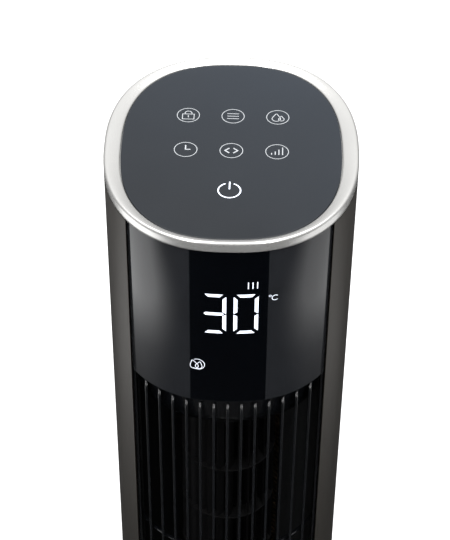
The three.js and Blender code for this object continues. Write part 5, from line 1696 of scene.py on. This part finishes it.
def lay_floor():
    """Plain pale floor. Gloss sees a black card in front of the fan and two pale boards beside it."""
    half = studio().floor / 2
    corners = [(-half, -half, 0), (half, -half, 0), (half, half, 0), (-half, half, 0)]
    floor = make_object("studio_floor", corners, [[0, 1, 2, 3]])
    material, tree, shader = new_finish("pale_floor")
    give(tree, shader, Base_Color=rgba(studio().floor_color), Roughness=0.9, Specular_IOR_Level=0.1)
    vector = object_vector(tree)
    place = axes(tree, vector)
    away = tree.nodes.new("ShaderNodeVectorMath")
    away.operation = "LENGTH"
    tree.links.new(vector, away.inputs[0])
    across = math_node(tree, "ABSOLUTE", place["X"])
    fades = (
        map_range(tree, across, *BOARD_INNER_EDGE, 0.0, 1.0, smooth_step=True),
        map_range(tree, place["Y"], *BOARD_REAR_END, 1.0, 0.12, smooth_step=True),
        map_range(tree, place["Y"], *BOARD_FRONT_END, 0.03, 1.0, smooth_step=True),
        map_range(tree, away.outputs["Value"], *BOARD_FAR_PART, 0.3, 1.3),
    )
    board = fades[0]
    for fade in fades[1:]:
        board = math_node(tree, "MULTIPLY", board, fade)
    # Both boards are dimmer toward +X.
    side = map_range(tree, place["X"], -0.5, 0.5, 1.0, 0.6)
    shade = math_node(tree, "MULTIPLY", map_range(tree, board, 0.0, 1.0, 0.02, 0.95), side)
    seen = tree.nodes.new("ShaderNodeBsdfDiffuse")
    tree.links.new(mix_color(tree, shade, (0, 0, 0, 1), (1, 1, 1, 1)), seen.inputs["Color"])
    path = tree.nodes.new("ShaderNodeLightPath")
    blend = tree.nodes.new("ShaderNodeMixShader")
    tree.links.new(path.outputs["Is Glossy Ray"], blend.inputs[0])
    tree.links.new(shader.outputs[0], blend.inputs[1])
    tree.links.new(seen.outputs[0], blend.inputs[2])
    tree.links.new(blend.outputs[0], tree.nodes["Material Output"].inputs["Surface"])
    floor.data.materials.append(material)


def add_lamp(name, place, aim, size, power):
    """Soft rectangular lamp at place, turned to aim."""
    light = bpy.data.lights.new(name, "AREA")
    light.shape = "RECTANGLE"
    light.size, light.size_y = size
    light.energy = power
    lamp = add_object(name, light)
    lamp.location = place
    lamp.rotation_mode = "QUATERNION"
    lamp.rotation_quaternion = (Vector(aim) - Vector(place)).to_track_quat("-Z", "Y")
    lamp.visible_camera = False
    return lamp


def hang_lamps():
    """Wide overhead bank, and two upright strips in front at the sides."""
    for lamp in LAMPS:
        add_lamp(*lamp)


def set_sky():
    """Pale surroundings: dim at the horizon, bright overhead."""
    world = bpy.data.worlds.new("pale_surroundings")
    world.use_nodes = True
    tree = world.node_tree
    background = tree.nodes["Background"]
    height = axes(tree, tree.nodes.new("ShaderNodeTexCoord").outputs["Generated"])["Z"]
    strength = map_range(tree, height, 0.0, 0.75, 0.30, 0.92)
    give(tree, background, Color=(1.0, 1.0, 1.0, 1), Strength=strength)
    bpy.context.scene.world = world
    bpy.context.scene.view_settings.view_transform = "Standard"


def set_camera():
    """Camera above and in front, looking down at the head."""
    settings = studio()
    unit = HALF_WIDTH
    aim = Vector((settings.aim_x * unit, settings.aim_y * unit, RING_HIGH.z))
    a, e = settings.azimuth, settings.elevation
    back = Vector((math.sin(a) * math.cos(e), -math.cos(a) * math.cos(e), math.sin(e)))
    data = bpy.data.cameras.new("camera")
    data.lens = settings.lens
    data.sensor_width = 36.0
    camera = add_object("camera", data)
    turn = (-back).to_track_quat("-Z", "Y").to_matrix() @ Matrix.Rotation(settings.roll, 3, "Z")
    camera.matrix_world = Matrix.Translation(aim + back * settings.distance * unit) @ turn.to_4x4()
    bpy.context.scene.camera = camera


# ------------------------------------------------------------------ panel and registration
class TOWERFAN_PT_panel(bpy.types.Panel):
    """Lists the makers of the tower fan"""

    bl_idname = "TOWERFAN_PT_panel"
    bl_label = "Tower Fan"
    bl_space_type = "VIEW_3D"
    bl_region_type = "UI"
    bl_category = "Tower Fan"

    def draw(self, context):
        layout = self.layout
        for operator in MAKERS:
            layout.operator(operator.bl_idname)
        for group in (column(), head(), outlet(), rear(), studio()):
            box = layout.box()
            for key in group.__annotations__:
                box.prop(group, key)


MAKERS = (
    TOWERFAN_OT_head,
    TOWERFAN_OT_shells,
    TOWERFAN_OT_outlet,
    TOWERFAN_OT_base,
    TOWERFAN_OT_rear,
    TOWERFAN_OT_tank,
    TOWERFAN_OT_inner,
    TOWERFAN_OT_stage,
)
SETTINGS = {
    "tower_fan_column": TowerFanColumnSettings,
    "tower_fan_head": TowerFanHeadSettings,
    "tower_fan_outlet": TowerFanOutletSettings,
    "tower_fan_rear": TowerFanRearSettings,
    "tower_fan_studio": TowerFanStudioSettings,
}


def register():
    """Registers the settings, the makers and the sidebar panel."""
    for group in SETTINGS.values():
        bpy.utils.register_class(group)
    for operator in MAKERS:
        bpy.utils.register_class(operator)
    bpy.utils.register_class(TOWERFAN_PT_panel)
    for name, group in SETTINGS.items():
        setattr(bpy.types.Scene, name, PointerProperty(type=group))


def unregister():
    """Takes back everything that register set up."""
    for name in SETTINGS:
        delattr(bpy.types.Scene, name)
    bpy.utils.unregister_class(TOWERFAN_PT_panel)
    for operator in reversed(MAKERS):
        bpy.utils.unregister_class(operator)
    for group in reversed(SETTINGS.values()):
        bpy.utils.unregister_class(group)


def main():
    """Runs every maker in order."""
    register()
    bpy.ops.towerfan.head()
    bpy.ops.towerfan.shells()
    bpy.ops.towerfan.outlet()
    bpy.ops.towerfan.base()
    bpy.ops.towerfan.rear()
    bpy.ops.towerfan.tank()
    bpy.ops.towerfan.inner()
    bpy.ops.towerfan.stage()


if __name__ == "__main__":
    main()
